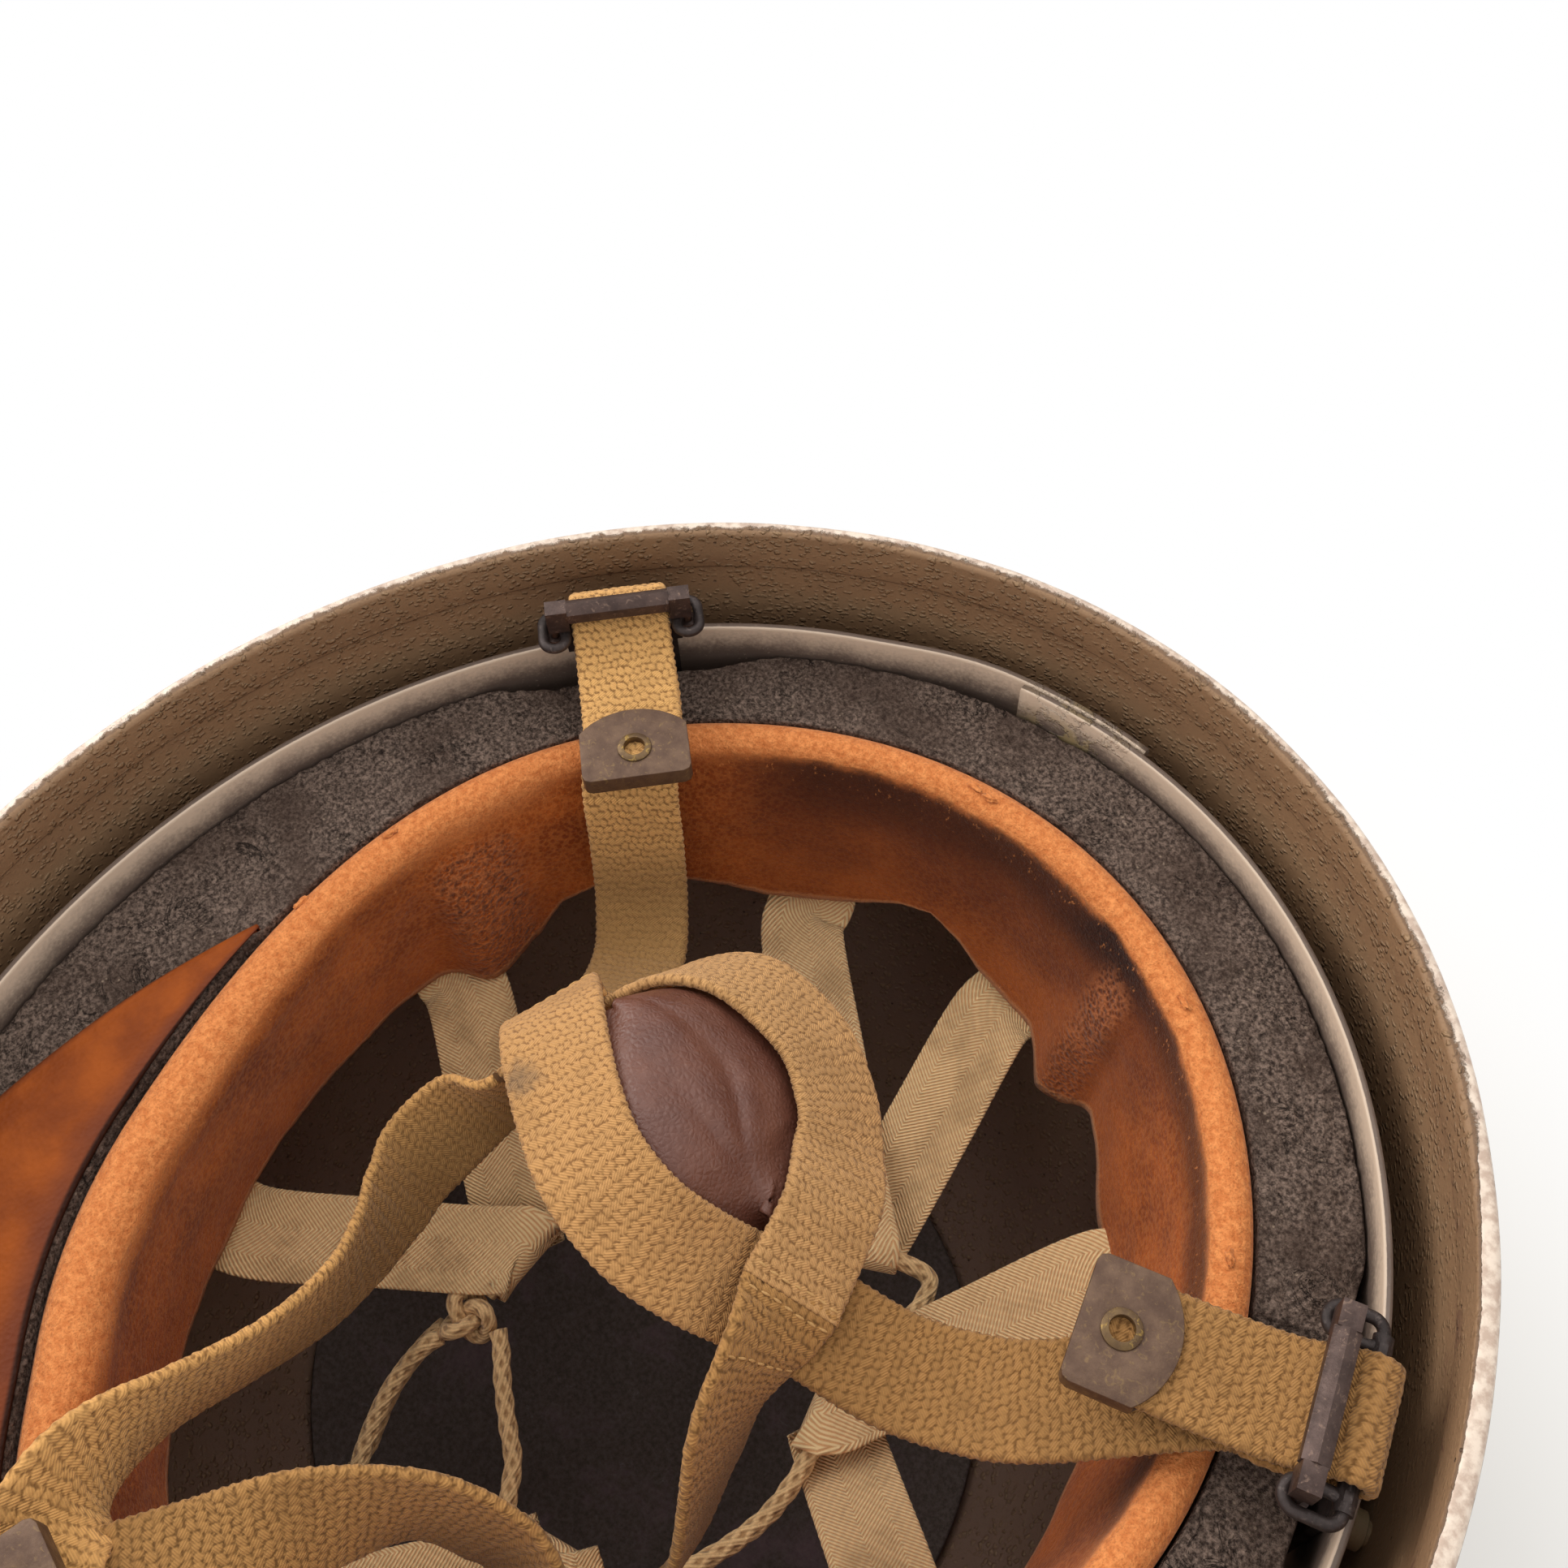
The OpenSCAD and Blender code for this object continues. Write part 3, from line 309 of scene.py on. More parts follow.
def cotton_cord(name):
    """Beige braided cotton, painted darker between its strands as painted shade, with fine yarn lines and grime here
    and there.
    """
    paint = Paint(name)
    u, v, _ = paint.uv()
    turn = u * (4 * math.pi / (cord_width * mm * math.pi))
    run = v * (math.pi / (braid_turn * mm))
    lump = (turn + run).math("COSINE").math("ABSOLUTE").math("MAXIMUM", (turn - run).math("COSINE").math("ABSOLUTE"))
    yarn = (turn * 6 + run * 5).math("SINE")
    grime = paint.speckle(0.011, 4)
    fine = paint.speckle(0.0005, 2)
    # Painted shade: the grooves between the strands are painted darker than the strands' tops.
    color = paint.coats(
        paint.mix(paint.step(lump, 0.4, 0.95), (188, 148, 102), (242, 204, 150)),
        (paint.step(yarn, -0.2, -0.9, 0.0, 0.25), (150, 116, 78)),
        (paint.step(grime, 0.5, 0.75, 0.0, 0.4), (150, 118, 80)),
        (paint.step(fine, 0.35, 0.7, 0.2, 0.0), (128, 100, 70)))
    relief = paint.bump(lump * 0.7 + yarn * 0.12 + fine * 0.4, 0.0005)
    return paint.skin(color, 0.92, relief, Sheen_Weight=0.15, Sheen_Roughness=0.5, Specular_IOR_Level=0.2)


tail_routes = {
    "drawcord_tail_long": [(-23.4, -34.2, -87.7), (-23.9, -38.4, -88.6), (-23.4, -43.5, -91), (-22.1, -48.2, -93),
                           (-20.1, -52.6, -95), (-17.6, -56.9, -97), (-15, -60.8, -99), (-14, -64.6, -101)],
    "drawcord_tail_short": [(-25.8, -32.6, -90.6), (-26, -37, -92.9), (-25.3, -41.8, -95), (-24, -46.4, -96.7),
                            (-22.1, -50.8, -98.8), (-19.6, -55, -100.7), (-17.6, -58.6, -102.6)],
}
cord_cotton = cotton_cord("cord_cotton")
for name, route in tail_routes.items():
    tail, line, length = braid(name.replace("drawcord", "cord"), route, cord_width, end=0.25)
    tail.data.materials.append(cord_cotton)
    # The strands at the cut end spread like a small brush
    tip, way = Vector(line[-1]), (Vector(line[-1]) - Vector(line[-6])).normalized()
    brush = []
    for k in range(26):
        lean = Vector((math.sin(k * 2.4), math.cos(k * 2.4), math.sin(k * 1.7) * 0.6))
        lean = (lean - way * lean.dot(way)).normalized()
        root = tip - way * 0.0008 + lean * 0.0011 * ((k % 5) / 5)
        reach_out = 0.0028 + 0.0022 * ((k * 7) % 11) / 11
        spread = 0.25 + 0.75 * ((k * 5) % 9) / 9
        bends = [root + (way + lean * spread * s * 0.9 + Vector((0, 0, -0.25 * s))) * reach_out * s
                 for s in (0, 0.35, 0.7, 1.0)]
        only()
        bpy.ops.curve.primitive_bezier_curve_add()
        strand = bpy.context.object
        spline = strand.data.splines[0]
        spline.bezier_points.add(2)
        for point, spot in zip(spline.bezier_points, bends):
            point.co = spot
            point.handle_left_type = point.handle_right_type = "AUTO"
        strand.data.dimensions = "3D"
        strand.data.resolution_u = 4
        strand.data.bevel_depth = 0.00016
        strand.data.bevel_resolution = 1
        bpy.ops.object.convert(target="MESH")
        brush.append(bpy.context.object)
    only(*brush[1:], brush[0])
    bpy.ops.object.join()
    fray = bpy.context.object
    fray.name = fray.data.name = name.replace("drawcord", "fray")
    bpy.ops.object.transform_apply(location=True, rotation=True, scale=True)
    if not fray.data.uv_layers:
        fray.data.uv_layers.new(name="UVMap")
    fray.data.materials.append(cord_cotton)
    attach(tail, "helmet")
    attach(fray, "helmet")
    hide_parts(name)


# The shell, deep-drawn manganese steel, sprayed inside and out with olive field paint that was thickened
# with grit, so that it dried in coarse wrinkles. Sweat and handling have stained it below the rim.
def oval(angle, inset, depth):
    """A place by its direction from the front in degrees, its inset from the helmet's edge and its depth."""
    s, c = np.sin(np.radians(angle)), np.cos(np.radians(angle))
    r = 1 / np.hypot(s / (half_width - inset), c / (half_length - inset))
    return np.stack([r * s, r * c, height - depth + 0 * r], -1)


def ease(x):
    t = np.clip(x, 0, 1)
    return t * t * (3 - 2 * t)


def away(a, b):
    return np.abs((a - b + 540) % 360 - 180)


def along_section(share, section):
    """The inset and depth at a share of the way through a list of them."""
    k = share * (len(section) - 1)
    return [np.interp(k, range(len(section)), column) for column in np.transpose(section)]


dome_power, steel, round_rim = 2.5, 1.2, 1.05
shell_l, shell_w, shell_h = half_length - round_rim, half_width - round_rim, height - round_rim


def bowl(u, v):
    # Along the wall: from the crown up the outside to the rim, over it, and down the inside
    wall = np.where(v < 0.5, 0.0, steel)
    s = np.radians(90 * np.clip(np.where(v < 0.5, 1 - v / 0.497, (v - 0.503) / 0.497), 0, 1))
    k, q = np.cos(s) ** (2 / dome_power), np.sin(s) ** (2 / dome_power)
    k = np.where(s > 1.5706, 0, k)
    a = u * 2 * np.pi
    r = k / np.hypot(np.sin(a) / (shell_w - wall), np.cos(a) / (shell_l - wall))
    return np.stack([r * np.sin(a), r * np.cos(a), shell_h - (shell_h - wall) * q], -1)


shell = laid("steel_shell", 288, 220, bowl, (820, 700), 2e-6)


def field_paint(name, outer_to=None, edge=False):
    """Gritty olive-brown paint that dried in short raised worms, stained, and bare along the edge.
    outer_to is how far along its own section a piece faces outwards, in metres. Without it, its faces say so."""
    paint = Paint(name)
    place = paint.place()
    x, y, z = paint.split(place)
    u, v, _ = paint.uv()
    wide = paint.speckle(0.034, 4, 0.6)
    blots = paint.speckle(0.011, 5, 0.68, None, 1.2)
    grit = paint.speckle(0.00055, 2, 0.6)
    # The right-hand wall ran smooth, with pinholes. The rest is covered in short raised worms.
    calm = paint.step(x + (wide - 0.5) * 0.05, 0.075, 0.1)
    wobble = paint.node("ShaderNodeTexNoise", None, out=1, Vector=place, Scale=1 / 0.0016, Detail=1)
    bent = paint.node("ShaderNodeVectorMath", {"operation": "MULTIPLY_ADD"}, wobble, (0.0017, 0.0017, 0.0011), place)
    low = paint.cells(0.0015, at=paint.node("ShaderNodeMapping", None, Vector=bent, Scale=(1.0, 1.0, 1.35)))
    worms = paint.step(low, 0.52, 0.15) * paint.step(paint.speckle(0.0042, 3, 0.6), 0.34, 0.54) * (1 - calm * 0.8)
    pins = paint.step(paint.cells(0.0031), 0.12, 0.05) * paint.step(paint.speckle(0.006, 2), 0.45, 0.6)
    # Painted shadow: a dark line on the wall just below the rim band's lower edge.
    ridge_shadow = paint.step(z, 0.1586, 0.1581) * paint.step(z + (blots - 0.5) * 0.0007, 0.1566, 0.1574)
    stain = paint.step(blots, 0.56, 0.6) * paint.step(z, 0.149, 0.154) * paint.step(z, 0.163, 0.159)
    # Painted highlight: the raised worms are painted paler on their tops.
    color = paint.coats(
        paint.mix(paint.step(z, 0.04, 0.14), (130, 103, 88), (146, 114, 84)),
        (paint.step(wide, 0.42, 0.64, 0.0, 0.4), (130, 101, 75)),
        (worms * 0.45, (168, 138, 103)),
        (ridge_shadow * 0.6, (70, 52, 40)),
        (stain * (calm * 0.5 + 0.1), (98, 62, 56)),
        (pins * 0.8, (64, 44, 34)),
        (paint.step(grit, 0.3, 0.5, 0.22, 0.0), (104, 80, 58)))
    # Painted highlight: the raised worms outside are painted paler too.
    olive = paint.coats(
        paint.mix(paint.step(wide, 0.4, 0.66), (98, 90, 62), (82, 72, 50)),
        (paint.step(blots, 0.6, 0.68, 0.0, 0.5), (70, 56, 44)),
        (worms * 0.4, (128, 118, 84)))
    if outer_to is None:
        nx, ny, _ = paint.split(paint.node("ShaderNodeTexCoord", out="Normal"))
        outside = paint.step(x * nx + y * ny, -0.01, 0.03)
    else:
        outside = paint.step(v, outer_to - 0.0004, outer_to + 0.0004, 1.0, 0.0)
    color = paint.mix(outside, color, olive)
    height_of = worms * 0.8 + grit * 0.12 - pins * 0.5 + wide * 0.3 + blots * 0.3
    relief = paint.bump(height_of, 0.0005)
    rough = 0.62 - worms * 0.2
    metal = 0.0
    if edge:
        # Knocked bare along the top, further in on the right, with a thin dark line of chipped paint inside it
        ragged = (paint.speckle(0.0035, 6, 0.72, None, 0.6) - 0.5) * 3.0 + (grit - 0.5) * 0.8
        here = v * ((len(rim_section) - 1) / 0.03) + ragged
        lost = paint.step(here, 2.2, 3.0) * paint.step(here - calm * 3.0, 7.9, 7.3)
        chip = paint.step(here - calm * 3.0, 7.3, 7.9) * paint.step(here - calm * 3.0, 9.6, 8.6)
        color = paint.mix(chip * 0.5, color, (84, 62, 48))
        pale = paint.mix(paint.step(paint.speckle(0.0022, 4, 0.6), 0.35, 0.62), (186, 164, 148), (222, 206, 190))
        color = paint.mix(lost, color, pale)
        metal = lost * 0.2
        rough = paint.node("ShaderNodeMix", None, lost, None, rough, 0.42)
        relief = paint.bump(height_of * (1 - lost * 0.9) - lost * 0.15, 0.0006)
    return paint.skin(color, rough, relief, Metallic=metal, Specular_IOR_Level=0.4)


shell.data.materials.append(field_paint("shell_paint", 0.35))
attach(shell, "helmet")
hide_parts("shell")


# The rim band, a strip of soft steel folded over the shell's raw edge and painted in with it.
# Its top edge has been knocked bare all the way round.
def rim_profile():
    """The band's section, as insets and depths, with its corners rounded."""
    inside = 0.8 + 0.25 + steel + 0.25 + 0.15
    out = [(0.0, 8.0), (0.0, 1.1)]
    out += [(1.1 - 1.1 * math.cos(t), 1.1 - 1.1 * math.sin(t)) for t in np.radians([15, 30, 45, 60, 75])]
    out += [(1.1, 0.0), (inside - 0.3, 0.0)]
    out += [(inside - 0.3 + 1.1 * math.sin(t), 1.1 - 1.1 * math.cos(t)) for t in np.radians([15, 30, 45, 60, 75])]
    out += [(inside + 0.8, 1.1), (inside + 0.8, 9.5), (inside + 0.65, 9.9), (inside + 0.3, 10.0), (inside, 9.9)]
    out += [(inside, 1.0), (inside - 0.1, 0.8), (0.9, 0.8), (0.8, 1.0), (0.8, 7.9), (0.5, 8.0), (0.2, 8.0), (0.0, 8.0)]
    return np.array(out)


rim_section = rim_profile()


def rim_place(u, v):
    inset, depth = along_section(v, rim_section)
    a = u * 360
    # The outer face has small knocks, which stay inside its own thickness
    knock = 0.12 * np.maximum(0, np.sin(np.radians(a * 17)) * np.sin(np.radians(a * 7 + 40)))
    return oval(a, inset + knock * (inset < 0.5), depth + knock * 0.6 * (depth < 0.6))


rim = laid("folded_rim", 360, 2 * (len(rim_section) - 1), rim_place, (820, 30), 2e-6)
rim.data.materials.append(field_paint("rim_paint", 0.03 * 7 / (len(rim_section) - 1), True))
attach(rim, "helmet")
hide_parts("rim_band")


# The liner band, grey pressed fibre, one strip whose ends lap at the front. Its cut upper edge is pale,
# its face is rubbed satin, and old yellow glue stands at the lap.
band_inset, band_thick, band_top, band_foot = 9.8, 1.6, 19.6, 61.0
lap_at, lap_width = -11.3, 12.0


def band_place(u, v):
    inset, depth = along_section(u, [
        (0, band_foot), (0, band_top + 0.5), (0.15, band_top + 0.12), (0.5, band_top), (1.1, band_top),
        (1.45, band_top + 0.12), (1.6, band_top + 0.5), (1.6, 40.0), (1.6, band_foot), (0, band_foot)])
    first = lap_at - lap_width / 2
    a = first + v * (360 + lap_width)
    out = ease((a - first - 345) / 13) * (band_thick + 0.25)
    return oval(a, band_inset + inset - out, depth)


band = laid("fibre_band", 36, 372, band_place, (90, 810), 2e-6)
cap_ends(band)
fibre = Paint("band_fibre")
place = fibre.place()
x, y, z = fibre.split(place)
turn = x.math("ARCTAN2", y)
radius = fibre.node("ShaderNodeVectorMath", {"operation": "LENGTH"}, fibre.join(x, y, 0.0), out=1)
drawn = fibre.node("ShaderNodeMapping", None, Vector=fibre.join(turn * 0.12, radius, z), Scale=(0.12, 1, 1.6))
streak = fibre.speckle(0.004, 5, 0.65, drawn)
scuff = fibre.speckle(0.018, 5, 0.7)
dust = fibre.speckle(0.0008, 3)
section_at = fibre.uv()[0] * 100 + (dust - 0.5) * 0.3 + (scuff - 0.5) * 0.5
top_edge = fibre.step(section_at, 3.9, 4.3) * fibre.step(section_at, 6.4, 6.0)
outer_top = fibre.step(section_at, 0.9, 1.2) * fibre.step(section_at, 4.3, 3.9)
glue_at = fibre.step((turn + 0.2).math("ABSOLUTE"), 0.13, 0.03)
glue = glue_at * fibre.step(fibre.speckle(0.006, 5, 0.7), 0.46, 0.56)
color = fibre.coats(
    fibre.mix(fibre.step(streak, 0.3, 0.7), (116, 101, 91), (146, 128, 116)),
    (fibre.step(scuff, 0.5, 0.68, 0.0, 0.5), (116, 97, 86)),
    # Painted shade: the band's face is darker below the roll's top, towards the foam.
    (fibre.step(z, 0.1455, 0.1405, 0.0, 0.65), (84, 68, 60)),
    (fibre.step(dust, 0.62, 0.74, 0.0, 0.45), (190, 168, 152)),
    (glue * 0.8, (168, 146, 104)),
    (outer_top * 0.5, (96, 80, 70)),
    (top_edge * 0.95, (214, 192, 170)))
relief = fibre.bump(streak * 0.3 + dust * 0.25 + glue * 1.5, 0.0003)
band.data.materials.append(fibre.skin(color, fibre.step(scuff, 0.4, 0.7, 0.36, 0.55), relief, Specular_IOR_Level=0.5))
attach(band, "helmet")
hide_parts("liner_band")


# The foam ring, charcoal sponge rubber cut from sheet and glued inside the band, with a butt joint.
# Its crumb has its own pale specks; its high grains are painted pale as painted highlight, and its pits and cracks are
# painted black as painted shade.
bracket_at = {"left": -55.0, "right": 55.0, "rear": 180.0}
roll_top, foam_out, plate_room = 24.7, 11.7, 3.9


def beside_plate(a):
    return np.max([1 - ease((away(a, b) - 7) / 9) for b in bracket_at.values()], axis=0)


def to_back(a):
    """How far round to the back a direction is."""
    return ease((away(a, 0) - 55) / 75)


def roll_at(a):
    return 33.5 + 15 * to_back(a) - 5 * ease((away(a, 0) - 155) / 25)


def roll_r_at(a):
    return 3.8 + 1.7 * to_back(a)


def crumb(spots, size, seed=0.0):
    """Rough noise at each place, from about -1 to 1."""
    return np.array([noise.noise(Vector((x / size + seed, y / size, z / size)), noise_basis="PERLIN_NEW")
                     for x, y, z in spots])


def foam_place(u, v):
    a = v * 360
    outer = foam_out + plate_room * beside_plate(a)
    inner = roll_at(a) - roll_r_at(a) - 0.3
    corners = [0, 0.12, 0.16, 0.9, 0.94, 1.0]
    ring = np.interp(u, corners, [0, 0, 0.02, 0.98, 1, 1])
    depth = np.interp(u, corners, [60, 28.2, 27.2, 26.6, 27.6, 60])
    spots = oval(a, outer + (inner - outer) * ring, depth)
    rough = 0.45 * crumb(spots, 2.6) + 0.35 * crumb(spots, 1.2, 9) - 0.25
    pits = np.clip(crumb(spots, 3.4, 30) - 0.35, 0, 1) * 2.2
    joint = np.clip(1 - np.abs((a - 46.5 + (ring - 0.5) * 2)) / 0.5, 0, 1) * 2.2
    face = np.clip((u - 0.08) / 0.06, 0, 1) * np.clip((0.99 - u) / 0.05, 0, 1)
    spots[:, 2] += np.minimum(rough - pits - joint, 0.25) * face
    return spots


foam = laid("sponge_ring", 60, 900, foam_place, (40, 760), 2e-6)
bpy.ops.object.mode_set(mode="EDIT")
bpy.ops.mesh.select_all(action="DESELECT")
bpy.ops.mesh.select_non_manifold()
bpy.ops.mesh.bridge_edge_loops()
bpy.ops.object.mode_set(mode="OBJECT")
sponge = Paint("foam")
grain = sponge.speckle(0.0008, 4, 0.75)
pores = sponge.cells(0.001)
patch = sponge.speckle(0.016, 4, 0.6)
split_line = sponge.speckle(0.0075, 4, 0.65, None, 1.4) - 0.5
cracks = sponge.step(split_line.math("ABSOLUTE"), 0.016, 0.002) * sponge.step(sponge.speckle(0.012, 2), 0.5, 0.66)
specks = sponge.step(sponge.cells(0.0016), 0.2, 0.1) * sponge.step(sponge.speckle(0.004, 3), 0.5, 0.62)
# Painted light: the high crumb is painted pale, and the pores and cracks dark. The specks and patches are the rubber's
# own.
color = sponge.coats(
    sponge.mix(sponge.step(grain, 0.34, 0.7), (58, 47, 42), (154, 133, 120)),
    (sponge.step(pores, 0.45, 0.85, 0.0, 0.4), (42, 34, 31)),
    (sponge.step(patch, 0.42, 0.68, 0.0, 0.6), (74, 58, 50)),
    (cracks * 0.6, (30, 24, 21)),
    (specks * 0.6, (172, 152, 132)))
relief = sponge.bump(grain * 0.8 - pores * 0.4 - cracks * 1.6, 0.001)
foam.data.materials.append(sponge.skin(color, 0.95, relief, Specular_IOR_Level=0.15))
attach(foam, "helmet")
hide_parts("foam_ring")


# The sweatband, thick tan leather rolled over a bead at its top, suede on the crest, smooth and darkened
# by sweat inside, with a ragged cut edge that dips where a tape is sewn behind it.
tape_angles = ((-132, -85), (-32, -3), (34, 87), (130, 176))
edge_depths = np.array([
    (-190, 66), (-170, 66), (-154, 67), (-148, 65.2), (-142, 66), (-135, 68.3), (-124, 66.7), (-114, 67.5), (-104, 66.8),
    (-95, 68), (-87, 69.5), (-80, 72.5), (-75, 71.6), (-71, 70), (-67, 63.5), (-62, 60.3), (-54, 60.6), (-47.5, 62.6),
    (-43, 64.7), (-38, 68), (-32, 68.3), (-25, 65.5), (-20, 61), (-15.7, 58.8), (-11, 62.9), (-8, 67.7), (-2.7, 70),
    (1.7, 69.6), (4.3, 74), (7, 77), (11, 75), (15, 69.3), (18.5, 69.9), (23, 73), (27, 76), (31, 77), (38, 75), (46, 71),
    (56, 68), (66, 67), (76, 70), (88, 71), (98, 66), (106, 62), (115, 62), (122, 66), (130, 70), (140, 70), (150, 66),
    (158, 66), (170, 70), (176, 70), (190, 66)], float)


def edge_at(a):
    return 46 + 6 * ease((away(a, 0) - 85) / 50)


def face_at(a, share):
    """The leather's inner face, a share of the way from the roll to its lower edge."""
    return (roll_at(a) + roll_r_at(a) + 0.4) * (1 - share) + edge_at(a) * share


def face_near_edge(a, depth):
    return face_at(a, 0.64) + (edge_at(a) - face_at(a, 0.64)) * (depth - 55) / 15


def band_leather(a, s):
    """The leather's inset and depth: s runs from the roll's outer foot, over the crest and down to the cut edge."""
    c, r = roll_at(a), roll_r_at(a)
    middle = roll_top + r
    end = np.interp((a + 190) % 360 - 190, edge_depths[:, 0], edge_depths[:, 1])
    spots = [(c - r, 60 + 0 * a), (c - r, 45 + 0 * a), (c - r, middle + 2.5)]
    for t in (160, 140, 120, 100, 80, 60, 40, 20):
        spots.append((c + r * math.cos(math.radians(t)), middle - r * math.sin(math.radians(t))))
    spots += [(c + r + 0.35, middle + 1.8), (face_at(a, 0.16), 35.5 + 0 * a), (face_at(a, 0.32), 41 + 0 * a),
              (face_at(a, 0.48), 48 + 0 * a), (face_at(a, 0.64), 55 + 0 * a),
              (face_near_edge(a, (end + 55) / 2), (end + 55) / 2), (face_near_edge(a, end), end)]
    k = s * (len(spots) - 1)
    i = np.clip(k.astype(int), 0, len(spots) - 2)
    t = k - i
    table = np.array([[p[0] for p in spots], [p[1] for p in spots]])
    pick = np.arange(len(s))
    inset = table[0][i, pick] * (1 - t) + table[0][i + 1, pick] * t
    depth = table[1][i, pick] * (1 - t) + table[1][i + 1, pick] * t
    return inset, depth


def leather_place(u, v):
    a = -190 + v * 360
    inset, depth = band_leather(a, u)
    face = np.clip((u - 0.5) / 0.2, 0, 1)
    wave = 0.0
    for at, wide, deep in ((-79, 5, 2.2), (-86, 4, -1.5), (-68, 4, -1.2), (7, 3.2, 2.6), (12, 3, -1.8), (24, 5, 1.2),
                           (-14, 5, 1.0), (-47, 6, 0.9), (-103, 6, 1.0), (-146, 6, 1.2), (60, 8, 1.0), (112, 6, -1.2),
                           (154, 6, 1.2)):
        wave = wave + deep * np.exp(-(away(a, at) / wide) ** 2)
    inset = inset + wave * face * np.clip((depth - 38) / 25, 0, 1)
    # Two folds, each with one sharp side
    past, before = a + 83, 12.5 - a
    fold = 2.4 / (1 + np.exp(-past / 0.6)) * np.exp(-(np.maximum(past, 0) / 9) ** 2)
    fold = fold + 2.4 / (1 + np.exp(-before / 0.6)) * np.exp(-(np.maximum(before, 0) / 5) ** 2)
    inset = inset + fold * face * np.clip((depth - 33) / 12, 0, 1)
    spots = oval(a, inset, depth)
    soft = 0.5 * crumb(spots, 17) + 0.25 * crumb(spots, 7, 5)
    ragged = 0.35 * crumb(spots, 2.0, 11) * np.clip((u - 0.96) / 0.04, 0, 1)
    spots = oval(a, inset + soft * np.clip((u - 0.3) * 3, 0, 1), depth + ragged)
    return spots


def thicken(sheet, thickness, side=-1):
    """Gives a sheet its thickness, on its back, or on both faces when side is 0."""
    thick = sheet.modifiers.new("thick", "SOLIDIFY")
    thick.thickness = thickness * mm
    thick.offset = side
    bpy.ops.object.modifier_apply(modifier="thick")


leather = laid("sweat_leather", 78, 620, leather_place, (70, 640), 2e-6)
thicken(leather, 1.6)

def within(value, low, high, soft):
    """1 between two values and 0 outside them."""
    return value.paint.step(value, low - soft, low + soft) * value.paint.step(value, high + soft, high - soft)


hide = Paint("roll_leather")
place = hide.place()
x, y, _ = hide.split(place)
turn = x.math("ARCTAN2", y) * (180 / math.pi)
s = hide.uv()[0] / 0.07
nap = hide.speckle(0.0013, 4, 0.65)
nap_fine = hide.speckle(0.0004, 2, 0.6)
mottle = hide.speckle(0.014, 5, 0.62)
large = hide.speckle(0.045, 3, 0.55)
pebble = hide.cells(0.0010)
crest = hide.mix(hide.step(nap, 0.3, 0.72), (200, 116, 62), (234, 152, 90))
inner = hide.mix(hide.step(mottle, 0.3, 0.7), (136, 62, 20), (184, 94, 35))
inner = hide.mix(hide.step(pebble, 0.3, 0.7, 0.0, 0.35), inner, (214, 130, 66))
border = hide.step(s + (nap - 0.5) * 0.08 + (large - 0.5) * 0.22, 0.56, 0.68)
# Sweat has burnt the front dark just inside the crest, with flecks rubbed back to orange along its border
inside = hide.step(s + (mottle - 0.5) * 0.12 + (nap - 0.5) * 0.06, 0.57, 0.64)
burn = inside * hide.step(s + (large - 0.5) * 0.25, 0.84, 0.66) * within(turn, -38.0, 9.0, 7.0)
burn_thin = inside * hide.step(s + (large - 0.5) * 0.1, 0.76, 0.66) * within(turn, 5.0, 70.0, 9.0)
burn_wide = inside * within(turn, -42.0, 22.0, 10.0) * hide.step(s + (mottle - 0.5) * 0.2, 1.0, 0.7, 0.35, 0.8)
burn_left = inside * hide.step(s, 0.8, 0.66) * within(turn, -165.0, -82.0, 9.0)
sweat = burn * 0.8 + burn_thin * 0.75 + burn_left * 0.25
stretched = hide.node("ShaderNodeMapping", None, Vector=place, Scale=(1.0, 1.0, 0.5))
flecks = hide.step(hide.speckle(0.0009, 4, 0.7, stretched), 0.6, 0.68) * within(s, 0.56, 0.68, 0.03)
# The two folds are rubbed rough: suede fibres stand up, with painted shade in the pits between them
rough_fold = within(turn, -83.0, -71.0, 2.0) + within(turn, 7.0, 12.0, 1.5)
rough_fold = rough_fold * hide.step(s + (mottle - 0.5) * 0.1, 0.66, 0.74)
glow = hide.step(s, 0.80, 0.97) * hide.step(large, 0.35, 0.6)
cut = hide.step(s + (nap - 0.5) * 0.012, 0.982, 0.992)
color = hide.coats(
    hide.mix(border, crest, inner),
    (burn_wide * hide.step(large, 0.25, 0.6, 0.7, 1.0), (96, 46, 27)),
    (sweat * hide.step(mottle, 0.2, 0.62, 0.8, 1.0), (44, 21, 15)),
    (flecks * 0.7, (216, 138, 78)),
    (rough_fold * hide.step(pebble, 0.2, 0.62, 0.0, 0.7), (184, 112, 70)),
    # Painted shade: dark in the low nap of the folds.
    (rough_fold * hide.step(nap, 0.55, 0.35, 0.0, 0.7), (76, 38, 26)),
    (glow * 0.4, (192, 104, 46)),
    (cut * 0.8, (206, 142, 92)),
    (hide.step(nap_fine, 0.3, 0.55, 0.28, 0.0), (96, 48, 24)))
fibres = hide.node("ShaderNodeMapping", None, Vector=place, Scale=(1, 1, 0.35))
standing = nap * 0.6 + nap_fine * 0.3 + hide.speckle(0.006, 4, 0.6, fibres) * 0.8 + rough_fold * pebble * 0.8
rough = hide.step(s, 0.54, 0.7, 0.88, 0.7)
leather.data.materials.append(hide.skin(color, rough, hide.bump(standing, 0.0007), Specular_IOR_Level=0.15,
                                        Sheen_Weight=0.12, Sheen_Roughness=0.4))
